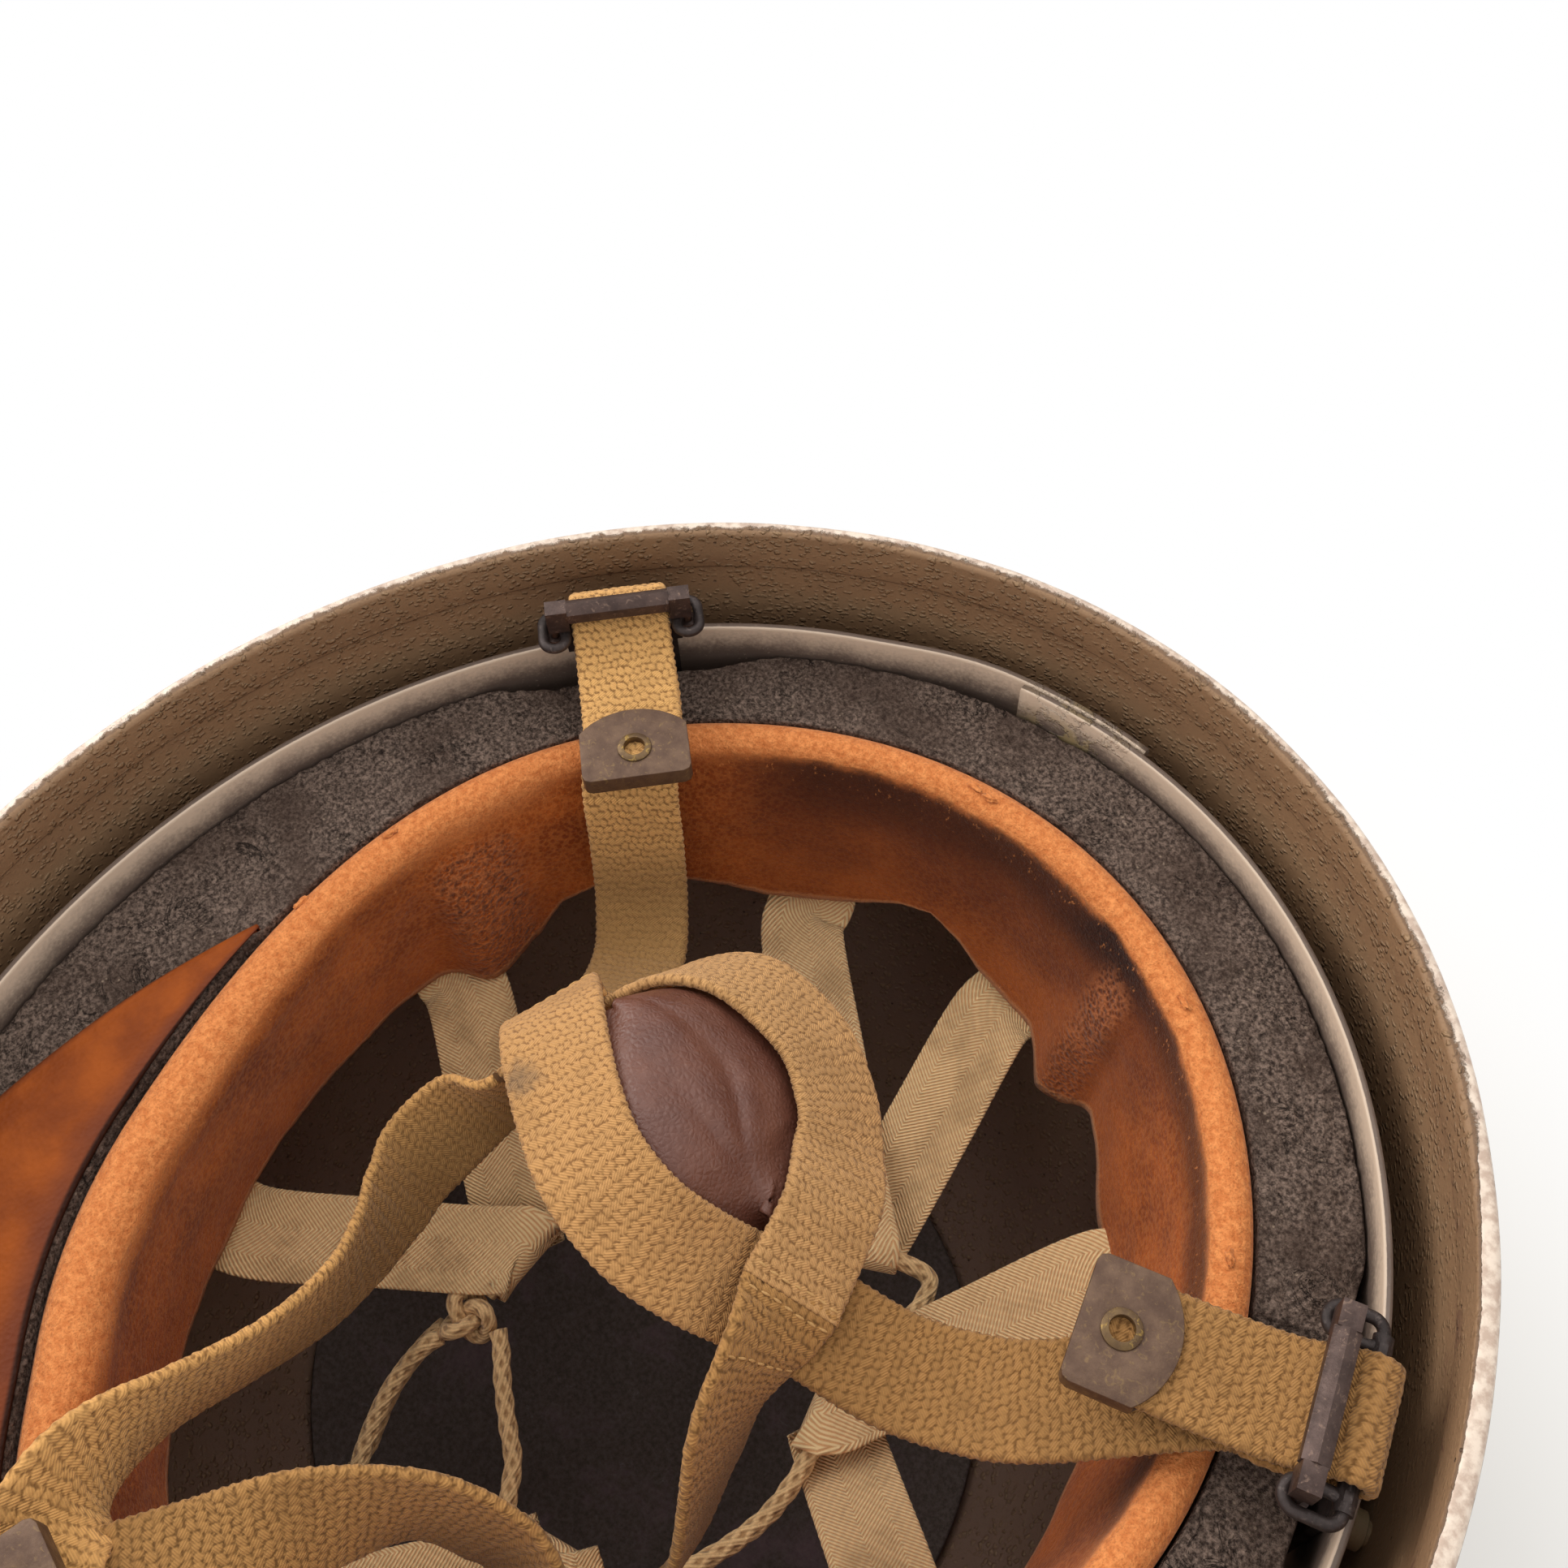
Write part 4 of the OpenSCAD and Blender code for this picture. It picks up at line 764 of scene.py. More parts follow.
# Small curls of suede, torn up along the crest
for k, (angle, out) in enumerate(((-15.5, 0.0), (-13.4, 0.6), (16.0, 0.4), (-85.0, -1.0), (-98.5, -3.0), (41.0, 0.5))):
    r = roll_r_at(angle)
    spot = oval(angle, roll_at(angle) + out, roll_top - 0.35 + r * (1 - math.sqrt(1 - (out / r) ** 2)))
    only()
    bpy.ops.mesh.primitive_ico_sphere_add(subdivisions=3, radius=1)
    curl = bpy.context.object
    ball = np.zeros(len(curl.data.vertices) * 3)
    curl.data.vertices.foreach_get("co", ball)
    ball = ball.reshape(-1, 3)
    torn = 1 + 0.75 * crumb(ball * 3, 2.2, 7 * k) + 0.35 * crumb(ball * 3, 0.8, 3 * k)
    ball = ball * torn[:, None] * (1.5, 0.62, 0.5)
    t = -math.radians(angle)
    ball = ball @ np.array([[math.cos(t), math.sin(t), 0], [-math.sin(t), math.cos(t), 0], [0, 0, 1]])
    curl.data.vertices.foreach_set("co", ((ball + spot) * mm).ravel())
    curl.data.uv_layers.active.data.foreach_set("uv", np.tile([0.028, 0.3], len(curl.data.loops)))
    curl.data.materials.append(hide.material)
    bpy.ops.object.shade_smooth()
    only(curl, leather)
    bpy.ops.object.join()
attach(leather, "helmet")
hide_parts("sweatband")


# The flap, a skirt of the same leather that was left long round the nape and lies over the foam.
# It is smooth side up, polished by handling, and darker in a strip along the roll, with a painted shadow line where it
# meets the roll.
def flap_place(u, v):
    a = -104 - 152 * v
    c = roll_at(a) - roll_r_at(a) - 0.35
    w = np.minimum(25, 1 + 0.75 * 76 * (1 - np.abs(2 * v - 1)))
    out = np.maximum(c - w, foam_out + 2 + plate_room * beside_plate(a))
    wave = 0.25 * np.sin(v * 31) * np.sin(u * np.pi) + 0.15 * np.sin(v * 67 + 2) * u
    return oval(a, c + (out - c) * u, roll_top - 0.55 * np.sin(u * np.pi) ** 0.5 + 0.25 * u - 0.3 * wave)


flap = laid("foam_flap", 30, 300, flap_place, (25, 290))
thicken(flap, 1.4)
smooth = Paint("flap_leather")
u = smooth.uv()[0]
mottle = smooth.speckle(0.012, 5, 0.6)
pore = smooth.cells(0.0009)
color = smooth.coats(
    smooth.mix(smooth.step(mottle, 0.3, 0.72), (122, 56, 16), (156, 78, 26)),
    (smooth.step(u, 0.0065, 0.001, 0.0, 0.65), (98, 50, 36)),
    # Painted shadow: a thin dark line where the flap meets the roll.
    (smooth.step(u, 0.0011, 0.0003), (52, 28, 20)),
    (smooth.step(u, 0.0225, 0.0248, 0.0, 0.6), (92, 46, 28)))
relief = smooth.bump(pore * 0.4 + smooth.speckle(0.005, 4) * 0.6, 0.0004)
rough = smooth.step(mottle, 0.3, 0.7, 0.5, 0.62)
flap.data.materials.append(smooth.skin(color, rough, relief, Specular_IOR_Level=0.12))
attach(flap, "helmet")
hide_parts("sweatband_flap")


# The crown pad, a disc of black rubberised felt glued in the bottom of the bowl.
# It has buckled a little as its glue dried.
pad_at, pad_width, pad_thick = (-9.0, -2.0), 152.0, 2.6


def bowl_floor(x, y):
    r = np.hypot(x / (shell_w - steel), y / (shell_l - steel))
    return shell_h - (shell_h - steel) * (1 - r ** dome_power) ** (1 / dome_power)


def pad_place(u, v):
    rounding = [0, 0.03, 0.93, 0.955, 0.975, 0.985, 1.0]
    share = np.interp(v, rounding, [0, 0.03, 0.985, 0.995, 1, 1, 0.995])
    lift = np.interp(v, rounding, [pad_thick] * 3 + [pad_thick - 0.3, pad_thick - 0.9, 1.0, 0.1])
    r = pad_width / 2 * share
    x, y = pad_at[0] + r * np.sin(u * 2 * np.pi), pad_at[1] + r * np.cos(u * 2 * np.pi)
    spots = np.stack([x, y, bowl_floor(x, y) + 0.45 + lift], -1)
    spots[:, 2] += 0.4 * crumb(spots, 23, 3) * np.clip(1 - share, 0, 1) * (lift > 2)
    return spots


pad = laid("crown_disc", 150, 90, pad_place, (470, 76), 2e-6)
felt = Paint("crown_felt")
wool = felt.speckle(0.0011, 5, 0.7)
bloom_and_sheen = felt.speckle(0.022, 5, 0.65, None, 0.7)
rubs = felt.speckle(0.006, 5, 0.75, None, 2.0)
# The purple patches are partly the rubber's bloom and partly painted sheen.
color = felt.coats(
    felt.mix(felt.step(wool, 0.3, 0.7), (76, 66, 61), (104, 92, 87)),
    (felt.step(bloom_and_sheen, 0.5, 0.74, 0.0, 0.55), (124, 98, 108)),
    (felt.step(rubs, 0.62, 0.72, 0.0, 0.35), (150, 140, 144)))
relief = felt.bump(wool * 0.35 + bloom_and_sheen * 1.2, 0.0009)
pad.data.materials.append(felt.skin(color, felt.step(bloom_and_sheen, 0.4, 0.7, 0.78, 0.6), relief, Specular_IOR_Level=0.3))
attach(pad, "helmet")
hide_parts("crown_pad")


# The crown tapes, four lengths of herringbone cotton tape, each sewn by both ends behind the sweatband
# and folded round the drawcord.
tape_width, tape_thick = 18.0, 1.0
fold_places = ((-27, -13), (13, 41), (34, 18), (24, -38))
fold_r = cord_width / 2 + tape_thick / 2 + 0.6


def quarter(v):
    return np.array([-v[1], v[0], 0.0])


def level(v):
    return unit(np.array([v[0], v[1], 0.0]))


def tape_stations(n):
    """The tape's places and the direction of its width at each, as in the model."""
    first, last = tape_angles[n]
    root = lambda a: oval(float(a), face_near_edge(float(a), 61.0) - 3.2, 61.0)
    hem = lambda a: oval(float(a), edge_at(float(a)) - 2.6, 71.2)
    out = lambda a: oval(float(a), edge_at(float(a)) + 5, 74.5)
    edge = lambda a: unit(oval(a + 1.0, 46.0, 0.0) - oval(a - 1.0, 46.0, 0.0))
    fold = np.array([*fold_places[n], height - 86.0])
    to_a, to_b = level(out(first) - fold), level(out(last) - fold)
    back = unit(to_a + to_b)
    up = np.array([0, 0, fold_r])
    before, behind = fold + to_a * 9 + up, fold + to_b * 9 - up
    slope, round_back = up * 0.7, fold - back * fold_r * 0.7
    route = [root(first), hem(first), out(first), (out(first) + before) / 2, before, fold + up, round_back + slope,
             fold - back * fold_r, round_back - slope, fold - up, behind, (out(last) + behind) / 2, out(last), hem(last),
             root(last)]
    side_a, side_b = quarter(to_a), -quarter(to_b)
    edge_a = edge(first) * np.sign(edge(first) @ side_a)
    edge_b = edge(last) * np.sign(edge(last) @ side_b)
    fold_side = quarter(back) * np.sign(quarter(back) @ side_a)
    like = lambda v: v if v @ fold_side >= 0 else -v
    sides = [edge_a] * 3 + [side_a] * 2 + [fold_side] * 5 + [like(side_b)] * 2 + [like(edge_b)] * 3
    return np.hstack([route, sides])


def ribbon(name, stations, width, thick, gap, cells, ripple=0.0, weave=None):
    """A flat woven strip with rounded edges through stations, each a place and the direction of its width.
    weave(x, run) says how its yarns stand up, and is kept on the mesh as "raised" for its material."""
    fine, length = smooth_line(stations, gap)
    line, side = fine[:, :3], fine[:, 3:6]
    along = unit(np.gradient(line, axis=0))
    side = unit(side - along * np.sum(side * along, 1, keepdims=True))
    face = np.cross(along, side)
    rows = len(line) - 1
    # Half the section: over the top face, then round the edge and back under the bottom face
    r = thick / 2
    flat_part = np.linspace(-width / 2 + r, width / 2 - r, cells)
    turnings = np.radians(np.linspace(90, -90, 7))[1:-1]
    bulge = width / 2 - r + r * np.cos(turnings)
    across = np.concatenate([flat_part, bulge, flat_part[::-1], -bulge])
    lift = np.concatenate([np.full(cells, r), r * np.sin(turnings), np.full(cells, -r), -r * np.sin(turnings)])
    across, lift = np.append(across, across[0]), np.append(lift, lift[0])
    around = len(across) - 1

    def place(u, v):
        k = np.rint(v * rows).astype(int)
        j = np.rint(u * around).astype(int)
        x, z = across[j], lift[j]
        run = v * length
        if weave:
            z = z + np.sign(z) * 0.3 * (weave(x + 0.5 * np.sign(z), run) - 0.5) * np.clip(np.abs(z) / r, 0, 1)
        x = x * np.where(np.abs(x) > 0.45 * width, 1 + ripple / width * 2 * np.cos(2 * np.pi * run / 1.6), 1.0)
        return line[k] + side[k] * x[:, None] + face[k] * z[:, None]

    piece = laid(name, around, rows, place, (1, length))
    # The weave's width coordinate is the real place across the strip, the same on both faces
    mesh = piece.data
    marks = mesh.uv_layers.active.data
    uv = np.zeros(len(mesh.loops) * 2)
    marks.foreach_get("uv", uv)
    uv = uv.reshape(-1, 2)
    corner = np.rint(uv[:, 0] / mm * around).astype(int)
    uv[:, 0] = across[corner] * mm
    marks.foreach_set("uv", uv.ravel())
    if weave:
        stand = weave(across[corner] + 0.5 * np.sign(lift[corner]), uv[:, 1] / mm)
        mesh.attributes.new("raised", "FLOAT", "CORNER").data.foreach_set("value", stand)
    cap_ends(piece)
    return piece


herringbone = Paint("tape_cotton")
u, v, _ = herringbone.uv()
column = (u / 0.0062 + 10.25).math("PINGPONG", 1.0)
thread = ((v / 0.00085 + column * 6.4) * (2 * math.pi)).math("SINE")
weft = (v * (2 * math.pi / 0.00062) + column * 20).math("SINE")
worn = herringbone.speckle(0.012, 4, 0.6)
fuzz = herringbone.speckle(0.0004, 2)
color = herringbone.mix(herringbone.step(thread + fuzz * 0.8 - 0.4, -1.0, 0.4), (226, 170, 118), (255, 224, 170))
color = herringbone.mix(herringbone.step(worn, 0.46, 0.72, 0.0, 0.45), color, (156, 122, 84))
relief = herringbone.bump(thread * 0.4 + weft * 0.12 + fuzz * 0.3, 0.00035)
tape_cotton = herringbone.skin(color, 0.93, relief, Specular_IOR_Level=0.15, Sheen_Weight=0.15, Sheen_Roughness=0.5)
for n, name in enumerate(("tape_left", "tape_front", "tape_right", "tape_rear")):
    tape = ribbon("crown_" + name, tape_stations(n), tape_width, tape_thick, 0.9, 20, 0.06)
    tape.data.materials.append(tape_cotton)
    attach(tape, "helmet")
    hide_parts(name)


# The drawcord, the same braid as its tails, drawn through the four folds and closed by its knot.
cord_route = [
    (-17.1, -24.6, -86.5), (-14, -25.8, -87), (-8.5, -28.8, -87), (-1.7, -32, -87.5), (5.2, -34.9, -87.5),
    (10, -38.7, -87), (15, -42, -86), (24, -38, -86), (34, -33, -86), (40, -20, -87), (42, -4, -87), (39, 9, -86),
    (34, 18, -86), (28.5, 28, -86), (30, 41, -87), (27, 49, -87), (21, 47, -86), (13, 41, -86), (5, 35, -86),
    (-10, 22, -87), (-24, 9, -86), (-30, -2, -86), (-27, -13, -86), (-25.2, -19.5, -86), (-24.2, -22.7, -86.5)]
cord, _, _ = braid("crown_cord", cord_route, cord_width, sides=20, gap=0.4)
knot_at, knot_size = (-23.2, -28, -87.1), 1.6
a = np.arange(36) * 2 * np.pi / 36
trefoil = np.stack([np.sin(a) + 2 * np.sin(2 * a), np.cos(a) - 2 * np.cos(2 * a), -1.75 * np.sin(3 * a)], 1)
knot_line = knot_at + knot_size * trefoil
knot, _, _ = braid("cord_knot", knot_line, cord_width * 0.88, closed=True, sides=20, gap=0.3)
for piece, name in ((cord, "drawcord"), (knot, "drawcord_knot")):
    piece.data.materials.append(cord_cotton)
    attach(piece, "helmet")
    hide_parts(name)


# The three brackets, pressed and bent blackened steel, riveted through the band. Each carries a fixed bar
# between two long eyes. The model's own solids are copied, welded and given broken edges.
def worked(name, node, bevel, segments=2, angle=32):
    """A copy of a model node with its faces welded and its sharp edges rounded."""
    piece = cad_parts[node].copy()
    piece.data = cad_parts[node].data.copy()
    bpy.context.scene.collection.objects.link(piece)
    piece.parent = None
    piece.matrix_world = Matrix.Identity(4)
    for key in list(piece.keys()):
        del piece[key]
    piece.name = piece.data.name = name
    only(piece)
    bpy.ops.object.mode_set(mode="EDIT")
    bpy.ops.mesh.select_all(action="SELECT")
    bpy.ops.mesh.remove_doubles(threshold=1e-6)
    bpy.ops.mesh.dissolve_limited(angle_limit=math.radians(1))
    bpy.ops.object.mode_set(mode="OBJECT")
    edge = piece.modifiers.new("edge", "BEVEL")
    edge.width = bevel * mm
    edge.segments = segments
    edge.limit_method = "ANGLE"
    edge.angle_limit = math.radians(angle)
    bpy.ops.object.modifier_apply(modifier="edge")
    bpy.ops.object.shade_smooth_by_angle(angle=math.radians(38))
    piece.data.materials.clear()
    return piece


def dark_metal(name, deep, plain, rubbed, gloss, metal=0.5):
    """Old dark metal, blotched and rubbed lighter in patches."""
    paint = Paint(name)
    cloud = paint.speckle(0.0045, 5, 0.65)
    fine = paint.speckle(0.0007, 4, 0.65)
    long = paint.speckle(0.0016, 4, 0.6, None, 1.5)
    color = paint.mix(paint.step(cloud, 0.3, 0.7), deep, plain)
    color = paint.mix(paint.step(long + (fine - 0.5) * 0.3, 0.56, 0.7, 0.0, 0.7), color, rubbed)
    relief = paint.bump(fine * 0.5 + cloud * 0.4, 0.00018)
    return paint.skin(color, paint.step(cloud, 0.3, 0.7, gloss + 0.14, gloss - 0.05), relief, Metallic=metal)


black_steel = dark_metal("bracket_steel", (44, 37, 36), (66, 56, 54), (96, 84, 80), 0.46)
for side in ("left", "right", "rear"):
    bracket = worked("bar_bracket_" + side, "bracket_" + side, 0.22)
    bracket.data.materials.append(black_steel)
    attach(bracket, "helmet")
    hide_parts("bracket_" + side)


# The rivets, steel, closed through bracket, band and shell, with low round heads outside under the paint.
rivets = worked("bracket_rivet_set", "bracket_rivets", 0.12, 1)
rivets.data.materials.append(field_paint("rivet_paint"))
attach(rivets, "helmet")
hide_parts("bracket_rivets")


# The clamp bars, cast and filed bronze gone dark brown: six-sided in the middle with square end blocks
# whose legs run in the brackets' eyes.
brown_bronze = dark_metal("clamp_bronze", (62, 47, 43), (84, 66, 60), (124, 101, 88), 0.4)
for side in ("left", "right", "rear"):
    bar = worked("clamp_" + side, "clamp_bar_" + side, 0.3, 2, 25)
    bar.data.materials.append(brown_bronze)
    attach(bar, "clamp_" + side)
    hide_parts("clamp_bar_" + side)


# The four harness straps, coarse tan cotton webbing. Each runs from the cup to its bracket, folds round
# the fixed bar and comes back on itself; the rear right one is sewn under the rear left one.
web_width, web_thick = 19.0, 2.2
bar_inset = 11.4
tail_length = {"left": 41.0, "right": 44.5, "rear": 39.0}
tail_high = -13.0


def bracket_turn(angle):
    """Which way a bracket's bar lies."""
    t = oval(angle + 0.5, bar_inset, 0.0) - oval(angle - 0.5, bar_inset, 0.0)
    return math.atan2(t[1], t[0])


def from_bracket(angle, inwards, high):
    """A place on a bracket's middle line, by its way in from the bar's own inset and its height from the rim."""
    t = bracket_turn(angle)
    return oval(angle, bar_inset, 0.0) + np.array([inwards * math.sin(t), -inwards * math.cos(t), high])


def strap_stations(side, route, widths):
    angle, tail = bracket_at[side], tail_length[side]
    bar_out, bar_depth, loop_r = 3.1, 7.6, 1.5 + 0.3 + 1.1
    t = bracket_turn(angle)
    bar_side = np.array([math.cos(t), math.sin(t), 0.0])
    bar_side = bar_side * np.sign(bar_side @ np.array(widths[-1]))
    points = [np.array(p) + (0, 0, height) for p in route]
    loop = [(bar_out + loop_r * math.cos(k), -bar_depth + loop_r * math.sin(k))
            for k in np.radians([260, 220, 180, 140, 100, 60])]
    end = [(tail - back, tail_high) for back in (17.5, 7.75, 0.9)]
    points += [from_bracket(angle, *at) for at in ((22, -18.3), (12, -14.4), *loop, (9.5, -8.6), (15, -11.4), *end)]
    return np.hstack([points, list(widths) + [bar_side] * (len(points) - len(widths))])


strap_routes = {
    "front_strap_right": ("right", [(28.5, 16.5, -34.3), (31.5, 18.5, -35.6), (44, 24, -37), (54, 30, -34),
                                    (63, 37.5, -28.5)],
                          [(-0.42, 0.88, 0.15), (-0.42, 0.88, 0.15), (-0.55, 0.8, 0.15), (-0.6, 0.78, 0.1),
                           (-0.62, 0.78, 0)]),
    "front_strap_left": ("left", [(-40.3, 14.5, -35), (-41.3, 17.5, -39.5), (-44.5, 26, -48.5), (-53, 37, -56),
                                  (-61.5, 44, -52), (-67, 48, -40), (-71.5, 51, -28)],
                         [(0, 1, -0.1), (0.1, 0.98, -0.2), (0.3, 0.9, -0.15)] + [(0.6, 0.8, 0)] * 4),
    "rear_strap_left": ("rear", [(-37.6, 3, -39.5), (-38.3, -1, -41.8), (-41.2, -8.5, -46), (-40.6, -19, -50),
                                 (-36.4, -27, -50.5), (-31, -35.5, -49), (-26, -45, -45), (-22, -58, -37),
                                 (-19.5, -73, -27.6), (-14.7, -86, -19.6), (-5, -97, -18.8)],
                        [(-0.1, 0.25, -0.95), (0, 0.2, -0.95), (0.5, -0.05, -0.8), (0.65, -0.2, -0.74),
                         (0.62, -0.36, -0.68), (0.45, -0.5, -0.74), (0.2, -0.52, -0.8), (0, -0.47, -0.88),
                         (0.1, -0.45, -0.88), (0.6, -0.3, -0.6), (1, -0.02, 0)]),
}
pick_across, pick_along = 1.52, 1.6


def plump(x, run):
    """How high the webbing's yarns stand, from 0 in the gaps to 1, with x across and run along it in millimetres."""
    wander = 0.16 * np.sin(x * 0.9 + run * 0.31) + 0.12 * np.sin(run * 0.83 - x * 1.7)
    row = np.floor(run / pick_along + wander)
    cx = (x / pick_across + row * 0.5 + 0.7 * wander + 0.12 * np.sin(row * 7.1)) % 1 - 0.5
    cy = (run / pick_along + wander) % 1 - 0.5
    lump = np.sqrt(np.clip(1 - 3.6 * cx ** 2 - 3.2 * cy ** 2, 0, 1))
    return lump * (0.86 + 0.14 * np.sin(row * 3.3 + np.floor(x / pick_across) * 5.7))


def webbing(name, light, dark, contrast, smudged=None):
    """Coarse cotton webbing, each plump pick showing its yarns, its picks painted light on top and dark in the gaps as
    painted shade, and painted darker down in the bowl as painted shade.
    smudged is a place where it was handled with dirty fingers."""
    paint = Paint(name)
    place = paint.place()
    z = paint.split(place)[2]
    u, v, _ = paint.uv()
    raised = paint.node("ShaderNodeAttribute", {"attribute_name": "raised"}, out=2)
    hand = ((v / (pick_along * mm)).math("FLOOR") * 0.5).math("FRACT") * 4 - 1
    yarn = ((v + u * hand * 0.8) * (2 * math.pi / 0.00052)).math("SINE")
    fine = paint.speckle(0.0004, 3, 0.6)
    patch = paint.speckle(0.013, 4, 0.6)
    tone = paint.speckle(0.0022, 2, 0.5)
    color = paint.coats(
        # Painted shade: the gaps between the picks are painted dark and the picks' tops light.
        paint.mix(paint.step(raised + (fine - 0.5) * 0.45, 0.05, contrast), dark, light),
        (paint.step(yarn, -0.2, -0.9, 0.0, 0.22), dark),
        (paint.step(tone, 0.4, 0.68, 0.0, 0.3), tuple(c * 0.86 for c in light)),
        (paint.step(patch, 0.48, 0.74, 0.0, 0.35), tuple(c * f for c, f in zip(light, (0.74, 0.72, 0.68)))),
        # Painted shade: darker lower down in the bowl.
        (paint.step(z, 0.136, 0.117, 0.0, 0.75), tuple(c * 0.62 for c in light)))
    if smudged:
        smudge = tuple(c * mm for c in smudged)
        near = paint.node("ShaderNodeVectorMath", {"operation": "DISTANCE"}, place, smudge, out=1)
        color = paint.mix(paint.step(near + (tone - 0.5) * 0.006, 0.0048, 0.001, 0.0, 0.6), color, (104, 88, 72))
    relief = paint.bump(yarn * 0.16 + fine * 0.5, 0.0003)
    return paint.skin(color, 0.92, relief, Specular_IOR_Level=0.15, Sheen_Weight=0.12, Sheen_Roughness=0.5)


# The front right strap and the strap under the rear left one get darker copies of the same webbing: painted shade.
web_cloths = {
    "front_strap_right": webbing("webbing_right_shaded", (170, 125, 74), (116, 80, 42), 0.7),
    "front_strap_left": webbing("webbing_left", (224, 172, 106), (142, 102, 58), 0.68),
    "rear_strap_left": webbing("webbing_rear", (222, 168, 102), (142, 101, 56), 0.68),
    "rear_strap_right": webbing("webbing_under_shaded", (182, 135, 80), (116, 82, 44), 0.68),
}
thread = Paint("seam_thread")
color = thread.mix(thread.speckle(0.0006, 3), (150, 108, 60), (224, 182, 124))
seam_thread = thread.skin(color, 0.85, None, Specular_IOR_Level=0.2)


def stitch_rows(strip, stations, runs):
    """Rows of plump stitches across a strip, on both faces, at some distances from its start, or its end if below 0."""
    fine, length = smooth_line(stations, 0.42)
    along = unit(np.gradient(fine[:, :3], axis=0))
    made = []
    for run in runs:
        k = int(round(run % length / length * (len(fine) - 1)))
        side = unit(fine[k, 3:6] - along[k] * (fine[k, 3:6] @ along[k]))
        face = np.cross(along[k], side)
        for n in range(-3, 4):
            for out in (-1, 1):
                spot = fine[k, :3] + side * n * 2.45 + face * out * (web_thick / 2 + 0.05)
                spot = spot + along[k] * 0.18 * math.sin(n * 5.1)
                turn = Matrix((side + along[k] * 0.12 * math.sin(n * 3.7), along[k], face)).transposed()
                only()
                bpy.ops.mesh.primitive_uv_sphere_add(segments=12, ring_count=8, radius=1)
                made.append(bpy.context.object)
                size = Matrix.Diagonal((0.92 * mm, 0.26 * mm, 0.24 * mm, 1))
                made[-1].matrix_world = Matrix.Translation(Vector(spot * mm)) @ turn.to_4x4() @ size
                made[-1].data.materials.append(seam_thread)
    only(*made, strip)
    bpy.ops.object.join()


for name, (side, route, widths) in strap_routes.items():
    strap = ribbon("web_" + name, strap_stations(side, route, widths), web_width, web_thick, 0.42, 52, 0.14, plump)
    strap.data.materials.append(web_cloths[name])
    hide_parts(name)
    ends = [from_bracket(bracket_at[side], tail_length[side] + 1, -14), np.array(route[0]) + (0, 0, height)]
    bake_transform(strap)

sewn_route = [(26.4, 17.7, -27.7), (27.3, 16, -27.7), (28.6, 13, -28.2), (31.3, 6.3, -29.4), (34, -1.5, -35),
              (38, -9, -46), (43, -19, -56), (44, -31, -58), (37, -39, -53), (26, -41, -44), (16, -48, -36),
              (9.5, -62, -30), (6, -76, -26.6)]
sewn_sides = [(-0.69, -0.46, 0.5), (-0.69, -0.46, 0.5), (-0.62, -0.38, 0.66), (-0.35, -0.4, 0.87), (-0.12, -0.35, 0.93),
              (0.05, -0.35, 0.93), (0.2, -0.2, 0.9), (0.3, 0.1, 0.9), (0.2, 0.3, 0.9), (0.1, 0.5, 0.85), (-0.1, 0.4, 0.9),
              (-0.6, 0.2, 0.75), (-0.9, 0.1, 0.35), (-1, 0, 0.05), (-1, 0, 0)]
sewn_points = [np.array(p) + (0, 0, height) for p in sewn_route]
sewn_points += [from_bracket(180.0, 34, -22.9), from_bracket(180.0, 22, -21.3)]
sewn_stations = np.hstack([sewn_points, sewn_sides])
sewn = ribbon("web_rear_strap_right", sewn_stations, web_width, web_thick, 0.42, 52, 0.14, plump)
sewn.data.materials.append(web_cloths["rear_strap_right"])
stitch_rows(sewn, sewn_stations, (3.2, 12.5))
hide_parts("rear_strap_right")
from_bracket(180.0, 36, -23) * mm
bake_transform(sewn)


# The strap tips, brass sheet folded over the end of each tail, browned and rubbed, each with an eyelet
# of yellower brass set through it.
tip_brass = dark_metal("tip_brass", (84, 61, 48), (104, 79, 60), (124, 98, 64), 0.44, 0.35)
eyelet_brass = dark_metal("eyelet_brass", (86, 64, 44), (112, 88, 54), (170, 138, 70), 0.36, 0.5)
for side in ("left", "right", "rear"):
    tip = worked("metal_tip_" + side, "strap_tip_" + side, 0.5, 3)
    tip.data.materials.append(tip_brass)
    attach(tip, "helmet")
    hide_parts("strap_tip_" + side)
eyelets = worked("eyelet_set", "tip_eyelets", 0.12, 2)
eyelets.data.materials.append(eyelet_brass)
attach(eyelets, "helmet")
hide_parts("tip_eyelets")


# The chin cup: two lengths of the webbing that cross at each end, with a glossy creased leather
# lining between them, sewn along the webs' inner edges.
low_route = [(-40.3, 14.5, -35), (-40, 13.5, -26), (-34, 11, -16.8), (-26, 7.5, -12.8), (-15, 3.5, -11), (-4, 1, -11),
             (7, 2, -14.5), (15, 6, -21), (21, 11, -28.5), (28.5, 16.5, -34.3)]
low_sides = [(0, 1, -0.1), (0.05, 1, 0), (0.22, 0.95, 0.1), (0.35, 0.9, 0.2), (0.25, 0.93, 0.3), (0.1, 0.95, 0.3),
             (-0.1, 0.95, 0.3), (-0.3, 0.92, 0.2), (-0.4, 0.9, 0.14), (-0.42, 0.88, 0.15)]
high_route = [(-37.6, 3, -39.5), (-36.5, 12, -35.5), (-34.2, 22.3, -30.5), (-31, 34.5, -25.8), (-21.9, 43.6, -24.2),
              (-7.6, 46.9, -27.2), (3.5, 44, -29.3), (11.5, 38.8, -29.6), (20, 30, -26.6), (27.3, 16, -27.5)]
